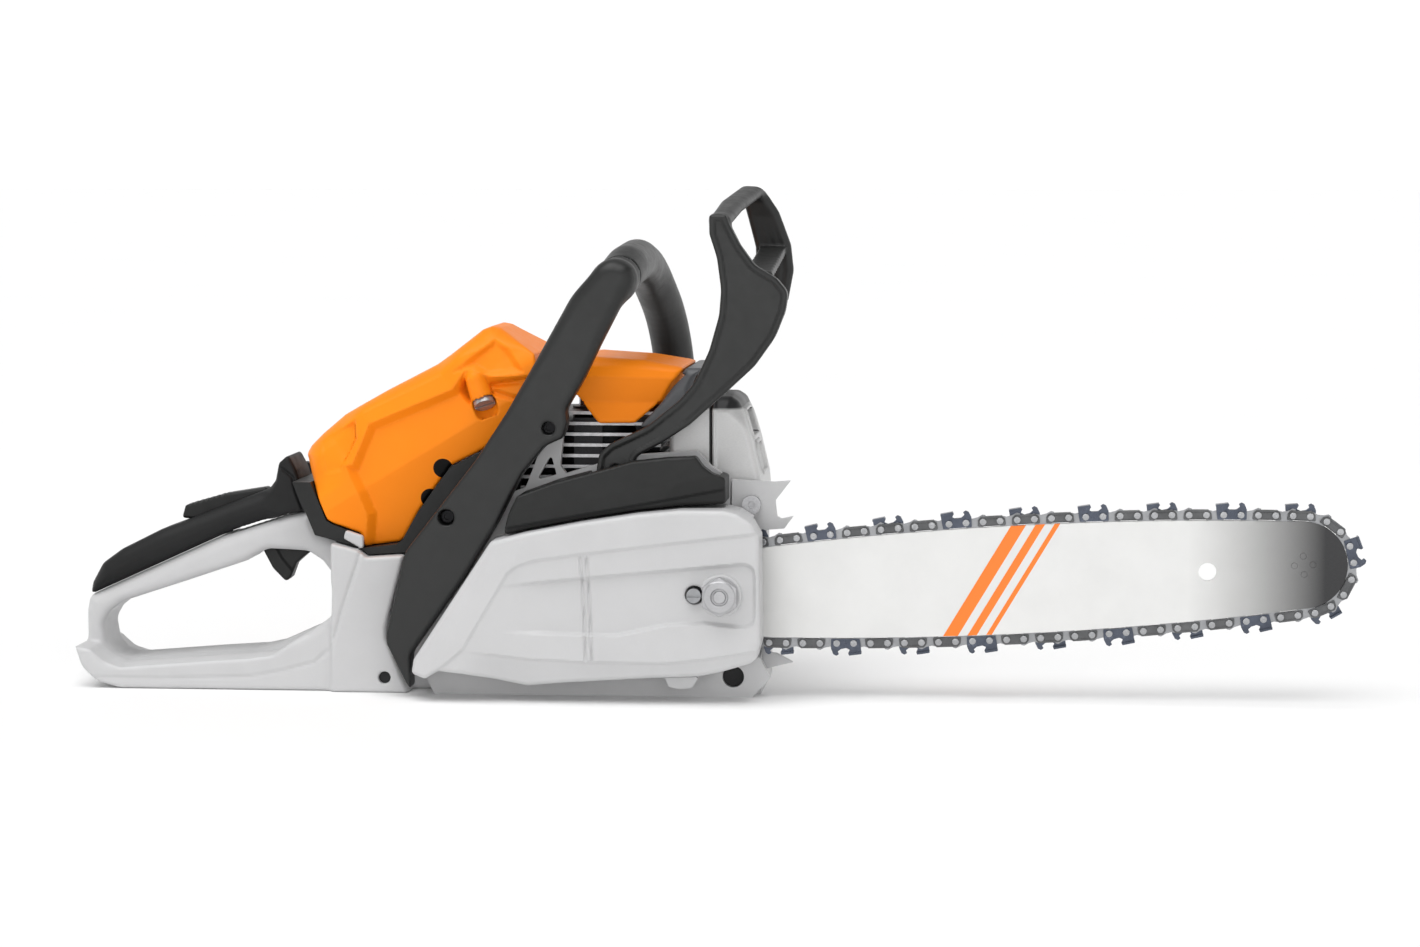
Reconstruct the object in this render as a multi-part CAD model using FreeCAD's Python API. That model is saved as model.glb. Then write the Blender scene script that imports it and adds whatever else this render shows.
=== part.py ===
"""Petrol chainsaw with a 35 cm guide bar, as an assembly of separate pieces.

Frame while building: +X along the saw towards the bar's nose, +Y to the saw's left, +Z up, in
millimetres. The crankshaft lies on X = 0 and the guide bar's middle plane on Y = 0. Every piece is
moved at the end so that the origin is the middle of the whole box, on the ground.
"""

import FreeCAD
import Part
import math
import os

# ------------------------------------------------ driving dimensions
CRANK_Z = 52.0            # crankshaft above the ground
BAR_TILT = 3.5            # the guide bar points up by this angle, degrees
PITCH = 9.32              # 3/8 inch low profile chain: half the distance between three rivets
DRIVE_LINKS = 50
SPROCKET_R = 18.0         # pitch radius of the six-tooth drive sprocket
NOSE_R = 26.8             # pitch radius of the nine-tooth nose sprocket
EDGE_R = 2000.0           # the bar's two long edges are flat arcs of this radius, on the pitch line
RAIL_DROP = 3.1           # from the pitch line in to the bar's rail
BAR_HALF = 1.95           # half the bar's thickness
GROOVE_HALF = 0.68        # half the groove that guides the chain
GROOVE_DEEP = 8.5
LINK_HALF = 0.62          # half a drive link's thickness
STRAP_IN = 0.70           # a side link's inner and outer faces, from the middle plane
STRAP_OUT = 1.95
RIVET_R = 1.80
RIVET_HALF = 2.60
PAD_Y = 3.2               # housing face that the bar is clamped to
COVER_Y = -40.0           # outer face of the sprocket cover
ENGINE_Y = 53.0           # middle plane of the cylinder and crank
CRANK_THROW = 15.0        # half of the 30 mm stroke
BORE_R = 19.6             # 39 mm bore, with the piston's clearance
CYLINDER_DECK = 96.0
HANDLE_Y = 45.0           # middle plane of the rear handle
STUD_X = 79.5             # bar stud
STUD_Z = 60.5
TENSION_X = 65.0          # side-access chain tensioner
GUARD_PIVOT = (20.0, 126.0)
TRIGGER_PIVOT = (-160.0, 86.0)
LOCKOUT_PIVOT = (-188.0, 101.0)
FUEL_CAP = (-118.0, 44.0)
OIL_CAP = (76.0, 26.0)
CHOKE_PIVOT = (-155.0, 109.0)
COVER_LOCK = (-55.5, 8.0, 159.7)   # middle of the lock screw's slotted face
LOCK_AXIS = (-0.30, 0.47, 0.83)    # from that face into the cover
INTAKE_Z = 118.0          # middle line of carburettor, boot and intake port
THROTTLE_X = -72.0
PULL_X = -27.0            # the starter rope's vertical line, and its radius on the pulley
WALL = 2.6                # moulded covers
FIN_PITCH = 6.0

PIECES = {}


# ------------------------------------------------ small tools
def vec(x, y, z):
    return FreeCAD.Vector(x, y, z)


def box(x0, x1, y0, y1, z0, z1):
    return Part.makeBox(x1 - x0, y1 - y0, z1 - z0, vec(x0, y0, z0))


def rod_y(x, z, radius, y0, y1):
    return Part.makeCylinder(radius, y1 - y0, vec(x, y0, z), vec(0, 1, 0))


def rod_z(x, y, radius, z0, z1):
    return Part.makeCylinder(radius, z1 - z0, vec(x, y, z0), vec(0, 0, 1))


def rod_x(y, z, radius, x0, x1):
    return Part.makeCylinder(radius, x1 - x0, vec(x0, y, z), vec(1, 0, 0))


def ring_y(x, z, outer, inner, y0, y1):
    return rod_y(x, z, outer, y0, y1).cut(rod_y(x, z, inner, y0 - 1, y1 + 1))


def ring_z(x, y, outer, inner, z0, z1):
    return rod_z(x, y, outer, z0, z1).cut(rod_z(x, y, inner, z0 - 1, z1 + 1))


def between(start, end, radius):
    a = vec(*start)
    along = vec(*end) - a
    return Part.makeCylinder(radius, along.Length, a, along)


def joined(shapes):
    whole = shapes[0]
    for shape in shapes[1:]:
        whole = whole.fuse(shape)
    return whole.removeSplitter()


def fillet_wire(points, radius, y):
    """A closed outline in the XZ plane with arcs at its corners; one radius, or one for each point."""
    count = len(points)
    radii = radius if isinstance(radius, (list, tuple)) else [radius] * count
    corners = []
    for i, (px, pz) in enumerate(points):
        p = vec(px, y, pz)
        before = vec(points[i - 1][0], y, points[i - 1][1]) - p
        after = vec(points[(i + 1) % count][0], y, points[(i + 1) % count][1]) - p
        turn = math.pi - before.getAngle(after)
        reach = min(radii[i] * math.tan(turn / 2), 0.45 * before.Length, 0.45 * after.Length)
        if reach < 0.05 or turn < 0.02:
            corners.append((p, p, p))
            continue
        start = p + before.normalize() * reach
        end = p + after.normalize() * reach
        r = reach / math.tan(turn / 2)
        to_middle = (start + end) * 0.5 - p
        middle = p + to_middle.normalize() * (math.hypot(reach, r) - r)
        corners.append((start, middle, end))
    edges = []
    for i, (start, middle, end) in enumerate(corners):
        if (start - end).Length > 1e-6:
            edges.append(Part.Arc(start, middle, end).toShape())
        following = corners[(i + 1) % count][0]
        if (following - end).Length > 1e-6:
            edges.append(Part.LineSegment(end, following).toShape())
    return Part.Wire(edges)


def prism(points, y0, y1, radius=0.0):
    return Part.Face(fillet_wire(points, radius, y0)).extrude(vec(0, y1 - y0, 0))


def inset_prism(points, y0, y1, inset, radius=0.0):
    """A prism whose outline lies inside the given one by inset, for hollowing."""
    face = Part.Face(fillet_wire(points, radius, y0)).makeOffset2D(-inset)
    return face.extrude(vec(0, y1 - y0, 0))


def tube(points, radius, bend):
    """A round bar along straight runs, with a tangent arc at each corner."""
    path = [vec(*p) for p in points]
    edges = []
    last = path[0]
    for i in range(1, len(path) - 1):
        before, after = path[i - 1] - path[i], path[i + 1] - path[i]
        turn = math.pi - before.getAngle(after)
        reach = min(bend * math.tan(turn / 2), 0.45 * before.Length, 0.45 * after.Length)
        start = path[i] + before.normalize() * reach
        end = path[i] + after.normalize() * reach
        r = reach / math.tan(turn / 2)
        to_middle = (start + end) * 0.5 - path[i]
        middle = path[i] + to_middle.normalize() * (math.hypot(reach, r) - r)
        edges.append(Part.LineSegment(last, start).toShape())
        edges.append(Part.Arc(start, middle, end).toShape())
        last = end
    edges.append(Part.LineSegment(last, path[-1]).toShape())
    wire = Part.Wire(edges)
    section = Part.Wire(Part.makeCircle(radius, path[0], path[1] - path[0]))
    return wire.makePipeShell([section], True, False)


def hexagon_y(x, z, across_flats, y0, y1):
    corner_r = across_flats / math.sqrt(3)
    angles = [math.radians(30 + 60 * i) for i in range(6)]
    return prism([(x + corner_r * math.cos(a), z + corner_r * math.sin(a)) for a in angles], y0, y1)


def star(x, z, y0, y1, tip_r, root_r, teeth, tip_share=0.45):
    """A toothed wheel with straight flanks."""
    points = []
    for i in range(teeth):
        for share, r in ((-0.5, root_r), (-tip_share / 2, tip_r), (tip_share / 2, tip_r)):
            a = 2 * math.pi * (i + share) / teeth
            points.append((x + r * math.cos(a), z + r * math.sin(a)))
    return prism(points, y0, y1)


def add(name, *shapes):
    """Keeps a piece under its node's name; several shapes stay separate solids."""
    solids = [solid for shape in shapes for solid in shape.Solids]
    PIECES[name] = solids[0] if len(solids) == 1 else Part.makeCompound(solids)


def tilt_with_bar(shape):
    """From the bar's own frame, sprocket centre at the origin, to its place on the saw."""
    placed = shape.copy()
    placed.translate(vec(0, 0, CRANK_Z))
    placed.rotate(vec(0, 0, CRANK_Z), vec(0, 1, 0), -BAR_TILT)
    return placed


# ------------------------------------------------ outlines, (x, z)
SPROCKET_COVER = [
    (-46.5, 88.5), (-27.5, 93.5), (3, 99.5), (34.5, 104.5), (57.5, 106.8), (80.5, 106.8), (88, 105),
    (96, 100), (100.3, 92.5), (101, 34.5), (98.8, 26), (95.5, 23), (79, 18), (67, 15.4), (40, 14.3),
    (-10, 10.8), (-27, 9), (-62, 15.8), (-76, 17), (-83, 12.6), (-91, 15.2), (-89.8, 23),
]
BRAKE_COVER = [
    (-40.5, 91.2), (-37.5, 103), (-33, 112.6), (-13, 120), (12.5, 127), (20, 129), (30, 132),
    (50.5, 134.3), (65, 135), (69, 129.5), (74, 125.7), (81, 123.3), (81, 109), (57.5, 108.3),
    (34.5, 105.8), (3, 100.8), (-27.5, 94.7),
]
HOUSING_WALL = [
    (-83, 0), (94, 0), (99, 9), (97.5, 24), (97.5, 91), (81, 94), (81, 121), (71, 127), (63, 135.8),
    (27, 133), (9, 128.4), (-17, 120.5), (-46, 109.5), (-58, 88), (-70, 60), (-86, 24), (-91, 10.5),
]
BASE_STRIP = [
    (-83, 0), (94, 0), (104, 11), (98, 22.6), (95.5, 22.4), (79, 17.5), (67, 14.9), (40, 13.8),
    (-10, 10.3), (-27, 8.5), (-62, 15.3), (-76, 16.4), (-83, 12), (-90, 14.2),
]
REAR_HOUSING = [
    (-286.5, 48.5), (-288, 40), (-288, 24), (-284, 12), (-276, 4), (-262, 0), (-98, 0), (-110, 30),
    (-110, 37), (-99.5, 77), (-121, 75.5), (-126, 79.5), (-140, 83), (-151.5, 86), (-157, 99),
    (-171, 96), (-209, 83.7), (-256, 62.3),
]
HAND_HOLE = [
    (-278, 33), (-274, 40), (-267, 45.5), (-229, 58), (-195, 69.5), (-189, 73.5), (-182.5, 76.5),
    (-160, 75.5), (-151.5, 70), (-142.5, 58), (-144, 45.5), (-147.5, 38), (-155, 32), (-178.5, 21.5),
    (-189.5, 19), (-214, 17.5), (-262.5, 13.5), (-270.5, 15), (-276, 21),
]
REAR_GRIP = [
    (-286.3, 48.9), (-285, 56), (-279, 67), (-268, 75), (-245, 86.5), (-234, 90.5), (-182, 110.5),
    (-178, 115.5), (-176, 125), (-170.5, 130), (-166, 121.5), (-162.5, 110), (-159.5, 98.8),
    (-171, 96.3), (-209, 84), (-256, 62.6),
]
TRIGGER = [
    (-188, 74.5), (-182.5, 64), (-175, 56.5), (-172, 59), (-169, 67), (-163, 72.3), (-156.5, 76),
    (-155, 84), (-157, 90), (-163, 91), (-169, 86), (-184, 82.5),
]
LOCKOUT = [
    (-234.5, 92.5), (-232.5, 99.5), (-230, 100.6), (-210, 106.4), (-186, 110.3), (-183, 106),
    (-183, 97.5), (-190, 96.5), (-196, 96.5), (-212, 93), (-220, 90.8),
]
FILTER_COVER = [
    (-159, 131), (-156.5, 135.5), (-149.5, 142.5), (-137, 153), (-112, 167.2), (-84.5, 181.5),
    (-74.5, 188.5), (-59, 201), (-54, 203), (-49, 202), (-27.5, 188.5), (-24, 170), (-40, 146),
    (-59, 134), (-75, 126), (-82.5, 116), (-93.5, 100.5), (-102, 85.2), (-105, 82.8), (-124, 80.3),
    (-126, 88), (-141, 93.7), (-144, 95.5),
]
FILTER_BASE = [
    (-153.4, 116.5), (-163.5, 116.5), (-159, 105), (-156.2, 99.6), (-151, 87), (-139, 83.8),
    (-126, 80.4), (-121, 76.4), (-99.8, 77.8), (-92, 79), (-68, 82), (-60, 93), (-49, 113),
    (-42, 136), (-42, 142.5), (-58.8, 133.4), (-74.6, 125.4), (-82.1, 115.6), (-93.1, 100.1),
    (-101.7, 84.8), (-104.9, 82.4), (-124.4, 79.9), (-126.5, 87.6), (-141.3, 93.2), (-144.6, 95.2),
]
BASE_ROOM = [
    (-96, 86), (-70, 87.5), (-64, 95), (-53.5, 113), (-47, 134), (-60, 150), (-110, 150), (-110, 110),
]
FRONT_SHROUD = [
    (-20, 178), (-8, 186), (2, 187), (32, 185), (56, 181), (48, 172.5), (43, 163), (28, 150.5),
    (8, 150.2), (-5, 166), (-14, 166),
]
SHROUD_TRIM = [(56.5, 181), (66, 181), (58, 163), (40, 148), (30, 148), (43.5, 162.7), (48.5, 172.3)]
HANDLE_ARM = [
    (17, 246), (9, 236.5), (-3.5, 218), (-24.5, 182.3), (-39.5, 158), (-56.5, 131.7), (-96.3, 80.5),
    (-101.7, 56.6), (-107, 35.5), (-106.8, 29.8), (-97, 10), (-93, 3), (-93.5, 24), (-63.5, 66.5),
    (-45, 97), (-37.5, 112), (-31, 124.5), (-18.5, 139.5), (-8.5, 144), (-6, 152), (-6.7, 159.5),
    (3, 176), (12.3, 195), (24.5, 218.5), (34, 232), (30, 246),
]
GUARD_ARM = [
    (71.2, 265), (71.2, 255.5), (75.4, 242.5), (77.7, 225), (76.6, 211), (71.2, 192), (63, 174),
    (54.5, 164.3), (36.7, 150), (16.5, 140.5), (10.5, 135), (9, 124), (14, 113), (26, 113), (31, 124),
    (30, 133), (46, 141.7), (60.5, 151.3), (82, 170.5), (96, 183.5), (107, 199), (112.6, 213),
    (114.4, 223.7), (108, 231.3), (96, 238.5), (88, 249.5), (82, 261.3), (80.5, 265),
]
STARTER_COVER = [
    (-62, 14), (-54, 4), (42, 4), (50, 14), (50, 70), (50, 84), (44, 91.5), (44, 100), (36, 110),
    (-16, 110), (-44, 100), (-60, 76),
]
MUFFLER = [
    (46, 92), (46, 163), (51, 168.6), (86, 168.6), (91, 165), (95, 157), (98, 140), (100, 119),
    (100, 97), (95, 92),
]


# ------------------------------------------------ guide bar and chain, in the bar's own frame
def edge_circle(nose_x):
    """Centre (x, depth below the middle) of the flat arc that touches both sprockets' pitch circles."""
    to_sprocket, to_nose = EDGE_R - SPROCKET_R, EDGE_R - NOSE_R
    x = (to_sprocket**2 - to_nose**2 + nose_x**2) / (2 * nose_x)
    return x, math.sqrt(to_sprocket**2 - x**2)


def loop_angles(nose_x):
    x, depth = edge_circle(nose_x)
    return math.atan2(depth, -x), math.atan2(depth, nose_x - x)


def loop_length(nose_x):
    at_sprocket, at_nose = loop_angles(nose_x)
    arcs = SPROCKET_R * (math.pi - at_sprocket) + EDGE_R * (at_sprocket - at_nose) + NOSE_R * at_nose
    return 2 * arcs


def nose_distance():
    """How far the nose sprocket stands from the drive sprocket when the chain is just tight."""
    low, high = 300.0, 500.0
    for _ in range(60):
        middle = (low + high) / 2
        if loop_length(middle) < 2 * PITCH * DRIVE_LINKS:
            low = middle
        else:
            high = middle
    return (low + high) / 2


NOSE_X = nose_distance()


def loop_point(distance):
    """Point (x, z) that far along the pitch line, from the sprocket's rear over the top and back."""
    total = loop_length(NOSE_X)
    distance %= total
    below = distance > total / 2
    run = total - distance if below else distance
    at_sprocket, at_nose = loop_angles(NOSE_X)
    first = SPROCKET_R * (math.pi - at_sprocket)
    second = first + EDGE_R * (at_sprocket - at_nose)
    edge_x, depth = edge_circle(NOSE_X)
    if run < first:
        angle, radius, cx, cz = math.pi - run / SPROCKET_R, SPROCKET_R, 0.0, 0.0
    elif run < second:
        angle, radius, cx, cz = at_sprocket - (run - first) / EDGE_R, EDGE_R, edge_x, -depth
    else:
        angle, radius, cx, cz = at_nose - (run - second) / NOSE_R, NOSE_R, NOSE_X, 0.0
    x, z = cx + radius * math.cos(angle), cz + radius * math.sin(angle)
    return (x, -z) if below else (x, z)


def placed_link(shape, index):
    """A link drawn about its own middle, moved to lie between rivets index and index + 1."""
    x0, z0 = loop_point(index * PITCH)
    x1, z1 = loop_point((index + 1) * PITCH)
    link = shape.copy()
    link.rotate(vec(0, 0, 0), vec(0, 1, 0), -math.degrees(math.atan2(z1 - z0, x1 - x0)))
    link.translate(vec((x0 + x1) / 2, 0, (z0 + z1) / 2))
    return tilt_with_bar(link)


def rivet_holes(shape):
    for u in (-PITCH / 2, PITCH / 2):
        shape = shape.cut(rod_y(u, 0, RIVET_R + 0.08, -5, 5))
    return shape


def drive_link():
    outline = [
        (-7.2, -1.6), (-7.0, 2.0), (-5.0, 3.0), (-1.0, 2.0), (2.0, 2.6), (4.6, 3.9), (6.2, 3.4),
        (7.2, 1.0), (7.0, -1.6), (4.4, -2.9), (2.2, -8.2), (0.2, -8.4), (-2.2, -6.0), (-4.4, -2.9),
    ]
    return rivet_holes(prism(outline, -LINK_HALF, LINK_HALF, 0.6))


def side_link(side):
    outline = [
        (-7.7, -2.0), (-7.4, 1.0), (-5.8, 2.8), (5.8, 2.8), (7.4, 1.0), (7.7, -2.0), (7.2, -2.5),
        (-7.2, -2.5),
    ]
    y0, y1 = sorted((side * STRAP_IN, side * STRAP_OUT))
    return rivet_holes(prism(outline, y0, y1))


def cutter_link(side):
    """A side link with a tooth behind and a depth gauge in front; side -1 is the chain's right."""
    outline = [
        (-8.0, -2.5), (-8.6, 2.0), (-8.9, 5.8), (-2.2, 6.6), (-1.6, 5.4), (-2.6, 3.6), (-0.6, 2.6),
        (2.4, 3.2), (4.2, 4.6), (3.4, 6.0), (5.0, 6.9), (6.6, 6.0), (7.8, 3.0), (7.7, -2.5),
    ]
    y0, y1 = sorted((side * STRAP_IN, side * STRAP_OUT))
    plate = rivet_holes(prism(outline, y0, y1, 0.5))
    top = [(-8.9, 4.7), (-8.9, 5.8), (-2.2, 6.6), (-1.7, 5.5)]
    top_y0, top_y1 = sorted((side * -2.2, side * (STRAP_OUT + 1.6)))
    return plate.fuse(prism(top, top_y0, top_y1)).removeSplitter()


def make_chain():
    drive, straps, cutters, rivets = [], [], [], []
    link = drive_link()
    strap = {side: side_link(side) for side in (-1, 1)}
    tooth = {side: cutter_link(side) for side in (-1, 1)}
    for i in range(DRIVE_LINKS):
        drive.append(placed_link(link, 2 * i))
        tooth_side = {0: -1, 2: 1}.get(i % 4)
        for side in (-1, 1):
            if side == tooth_side:
                cutters.append(placed_link(tooth[side], 2 * i + 1))
            else:
                straps.append(placed_link(strap[side], 2 * i + 1))
    for i in range(2 * DRIVE_LINKS):
        x, z = loop_point(i * PITCH)
        rivets.append(tilt_with_bar(rod_y(x, z, RIVET_R, -RIVET_HALF, RIVET_HALF)))
    add("chain_drive_links", *drive)
    add("chain_tie_straps", *straps)
    add("chain_cutters", *cutters)
    add("chain_rivets", *rivets)


def bar_body(drop, y0, y1, tail):
    """The bar's flat shape, inside the pitch line by drop, from its square tail to its round nose."""
    edge_x, depth = edge_circle(NOSE_X)
    at_nose = loop_angles(NOSE_X)[1]
    nose = NOSE_R - drop
    edge = EDGE_R - drop

    def on_edge(x, sign):
        return vec(x, y0, sign * (math.sqrt(edge**2 - (x - edge_x) ** 2) - depth))

    def on_nose(angle):
        return vec(NOSE_X + nose * math.cos(angle), y0, nose * math.sin(angle))

    middle = (tail + NOSE_X) / 2
    edges = [
        Part.LineSegment(on_edge(tail, -1), on_edge(tail, 1)).toShape(),
        Part.Arc(on_edge(tail, 1), on_edge(middle, 1), on_nose(at_nose)).toShape(),
        Part.Arc(on_nose(at_nose), on_nose(0), on_nose(-at_nose)).toShape(),
        Part.Arc(on_nose(-at_nose), on_edge(middle, -1), on_edge(tail, -1)).toShape(),
    ]
    return Part.Face(Part.Wire(edges)).extrude(vec(0, y1 - y0, 0))


def make_bar():
    tail = 38.0
    body = bar_body(RAIL_DROP, -BAR_HALF, BAR_HALF, tail)
    groove_outside = bar_body(-2, -GROOVE_HALF, GROOVE_HALF, tail - 3)
    groove_inside = bar_body(RAIL_DROP + GROOVE_DEEP, -GROOVE_HALF - 1, GROOVE_HALF + 1, tail - 6)
    body = body.cut(groove_outside.cut(groove_inside))
    star_slot = rod_y(NOSE_X, 0, NOSE_R, -GROOVE_HALF, GROOVE_HALF)
    slot_z = 3.6                      # the stud passes a little above the bar's middle line
    slot = joined([
        rod_y(66, slot_z, 4.4, -5, 5),
        rod_y(92, slot_z, 4.4, -5, 5),
        box(66, 92, -5, 5, slot_z - 4.4, slot_z + 4.4),
    ])
    hang_hole = rod_y(343, -1.0, 4.9, -5, 5)
    tension_hole = rod_y(70, -12, 3.3, -5, 5)
    oil_hole = rod_y(52, 15, 2.0, -5, 5)
    quarters = [math.radians(90 * i) for i in range(4)]
    rivet_spots = [(NOSE_X + 5 * math.cos(a), 5 * math.sin(a)) for a in quarters]
    rivet_cuts = [rod_y(x, z, 1.7, -5, 5) for x, z in rivet_spots]
    for cut in [star_slot, slot, hang_hole, tension_hole, oil_hole, *rivet_cuts]:
        body = body.cut(cut)
    add("guide_bar", tilt_with_bar(body))
    bearing = ring_y(NOSE_X, 0, 8.4, 3.5, -0.6, 0.6)
    rivets = [rod_y(x, z, 1.62, -BAR_HALF, BAR_HALF) for x, z in rivet_spots]
    add("nose_bearing", tilt_with_bar(joined([bearing, *rivets])))
    wheel = star(NOSE_X, 0, -0.55, 0.55, 17.6, 14.0, 9).cut(rod_y(NOSE_X, 0, 8.45, -2, 2))
    add("nose_sprocket", tilt_with_bar(wheel))


# ------------------------------------------------ engine
def make_housing():
    wall = prism(HOUSING_WALL, PAD_Y, 9, 2.0)
    strip = prism(BASE_STRIP, -4, PAD_Y, 1.0)
    floor = box(-56, 94, 9, 78, 0, 5)
    case = joined([rod_y(0, CRANK_Z, 40, 9, 76), box(-40, 40, 9, 76, 5, CRANK_Z)])
    deck = box(-33, 33, 20, 76, 82, CYLINDER_DECK)
    front = box(38, 97.5, 9, 80, 5, 90).cut(box(49, 94.5, 16, 77, 8, 87))
    tank = box(46, 98, 9, 98, 0, 46).cut(box(49, 94.5, 16, 95, 3, 43))
    lug_plate = [(72, 88), (97.5, 88), (104, 98), (104, 117), (90, 119), (72, 118)]
    spike_lug = joined([prism(lug_plate, 9.8, 15.5), box(70, 80.5, 8, 15.5, 88, 118)])
    fan_plate = prism(STARTER_COVER, 76, 83.8, 7).cut(box(-70, 70, 70, 90, 104, 120))
    fan_plate = fan_plate.cut(rod_y(0, CRANK_Z, 30, 70, 90))
    fan_plate = fan_plate.cut(rod_z(0, ENGINE_Y, 25.6, CYLINDER_DECK, 106))
    web = [(-33, 113), (-8, 120), (-13, 127), (-11, 146), (-16, 155), (-22, 152), (-22, 141)]
    handle_web = prism(web, PAD_Y, 9, 1)
    handle_web = handle_web.cut(prism([(-26, 119), (-15, 122), (-18, 133)], 0, 10, 1))
    handle_post = rod_y(-16.4, 149.4, 6, -5.8, 9)
    outside = [wall, strip, floor, case, deck, front, tank, spike_lug, fan_plate]
    housing = joined([*outside, handle_web, handle_post])
    chain_path = bar_body(-9.5, 0, 6.4, 20).cut(bar_body(9, -1, 8, 18))
    housing = housing.cut(tilt_with_bar(chain_path))
    for cut in (
        rod_y(0, CRANK_Z, 37.0, 0, 30),                        # clutch and brake recess
        rod_y(0, CRANK_Z, 24.6, 41.5, 64.5),                   # crank chamber
        rod_y(0, CRANK_Z, 16.05, 32.0, 41.6),                  # bearing seats
        rod_y(0, CRANK_Z, 16.05, 64.4, 74.0),
        rod_y(0, CRANK_Z, 9.0, 29, 77),
        rod_z(0, ENGINE_Y, 22.6, 60, 100),                     # cylinder spigot
        rod_y(STUD_X, STUD_Z, 4.05, 0, 12), rod_y(STUD_X, STUD_Z, 6.6, 9, 12.2),
        rod_y(83.6, 11.5, 6.0, -5, 5), rod_y(-16.4, 149.4, 2.3, -7, 10),
        rod_y(93, 106, 2.3, 9, 16),
        rod_y(OIL_CAP[0], OIL_CAP[1], 12.6, 94, 99),           # oil filler
        rod_y(22, 12, 2.1, -5, PAD_Y + 5),
        box(58, 84, PAD_Y - 1, 8.6, 36, 50),                   # tensioner pocket
        rod_y(TENSION_X, STUD_Z, 4.6, 0, 8),
    ):
        housing = housing.cut(cut)
    add("engine_housing", housing)
    plate = tilt_with_bar(bar_body(9, 2.1, 3.1, 40)).common(box(0, 97, 0, 5, 0, 120))
    plate = plate.cut(rod_y(STUD_X, STUD_Z, 4.2, 0, 5)).cut(box(58, 84, 0, 5, 36, 54))
    plate = plate.cut(rod_y(TENSION_X, STUD_Z, 4.7, 0, 5))
    add("inner_side_plate", plate)
    thread = rod_y(STUD_X, STUD_Z, 3.95, -31, 9.2)
    stud_head = rod_y(STUD_X, STUD_Z, 6.5, 9.05, 12)
    add("bar_stud", joined([thread, stud_head]))


def make_crank():
    z = CRANK_Z
    pin_z = z - CRANK_THROW
    shaft = joined([
        rod_y(0, z, 5.0, -15, 31), rod_y(0, z, 6.0, 29, 45),
        rod_y(0, z, 6.0, 61, 80.4), rod_y(0, z, 4.5, 80, 107),
        rod_y(0, z, 22, 43, 49.4), rod_y(0, z, 22, 56.6, 63),
        rod_y(0, pin_z, 4.5, 48, 58),
    ])
    add("crankshaft", shaft)
    add("crank_bearings", ring_y(0, z, 16, 6.05, 33, 41), ring_y(0, z, 16, 6.05, 65, 73))
    add("connecting_rod_lower", ring_y(0, pin_z, 8.0, 4.55, 49.8, 56.2))
    pin = z - CRANK_THROW + 52.0              # wrist pin at bottom dead centre
    crown = rod_z(0, ENGINE_Y, 19.5, pin - 13, pin + 17)
    crown = crown.cut(rod_z(0, ENGINE_Y, 16.5, pin - 14, pin + 12.5))
    bosses = joined([rod_y(0, pin, 7.5, 36, 48), rod_y(0, pin, 7.5, 58, 70)])
    bosses = bosses.common(rod_z(0, ENGINE_Y, 17, 60, 130))
    crown = crown.fuse(bosses).removeSplitter().cut(rod_y(0, pin, 4.55, 20, 90))
    for groove in (pin + 11.0, pin + 14.0):
        crown = crown.cut(ring_z(0, ENGINE_Y, 21, 18.0, groove, groove + 1.3))
    add("piston", crown)
    add("piston_pin", rod_y(0, pin, 4.5, ENGINE_Y - 17.5, ENGINE_Y + 17.5))
    small_end = joined([rod_y(0, pin, 7.0, 49.8, 56.2), box(-4, 4, 50.5, 55.5, pin - 12.3, pin - 3)])
    add("connecting_rod_upper", small_end.cut(rod_y(0, pin, 4.55, 45, 60)))
    flywheel = rod_y(0, z, 44, 84, 92).fuse(rod_y(0, z, 13, 80.5, 98))
    flywheel = flywheel.cut(rod_y(0, z, 4.5, 70, 120))
    for i in range(18):
        blade = box(20, 43, 92, 102, z - 0.9, z + 0.9)
        blade.rotate(vec(0, 90, z), vec(0, 1, 0), 20 * i)
        flywheel = flywheel.fuse(blade)
    add("flywheel", flywheel.removeSplitter())


def make_clutch():
    z = CRANK_Z
    drum = joined([ring_y(0, z, 31, 28.8, 8, 27), ring_y(0, z, 31, 6.8, 6.6, 8.5)])
    teeth = [star(0, z, a, b, 14.4, 10.8, 6) for a, b in ((-7, -1.2), (1.2, 6.6))]
    sprocket = joined([ring_y(0, z, 9, 6.8, -7, 6.6), *teeth]).cut(rod_y(0, z, 6.8, -20, 20))
    add("clutch_drum", joined([drum, sprocket]))
    add("drum_retainer", joined([ring_y(0, z, 9.5, 5.0, -9, -7.6), ring_y(0, z, 7.5, 5.0, -10.5, -8.8)]))
    ring = ring_y(0, z, 28.0, 12.5, 11, 25)
    shoes = []
    for i in range(3):
        turns = [math.radians(120 * i + d) for d in (6, 57, 114)]
        wedge = [(0, z), *[(60 * math.cos(a), z + 60 * math.sin(a)) for a in turns]]
        shoes.append(ring.common(prism(wedge, 10, 26)))
    add("clutch_shoes", *shoes)
    arms = [box(5.02, 11.8, 12, 22, z - 2.5, z + 2.5) for _ in range(3)]
    for i, arm in enumerate(arms):
        arm.rotate(vec(0, 0, z), vec(0, 1, 0), 120 * i)
    hub = joined([ring_y(0, z, 9.5, 5.02, 10, 26), *arms]).cut(rod_y(0, z, 5.02, 0, 40))
    add("clutch_hub", hub)
    band = ring_y(0, z, 33.4, 32.0, 12, 24)
    gap = box(-8, 8, 10, 26, z + 25, z + 40)
    gap.rotate(vec(0, 0, z), vec(0, 1, 0), -20)
    tab = box(-3, 3, 14, 22, z - 36.8, z - 33)
    add("brake_band", joined([band.cut(gap), tab]))


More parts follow.
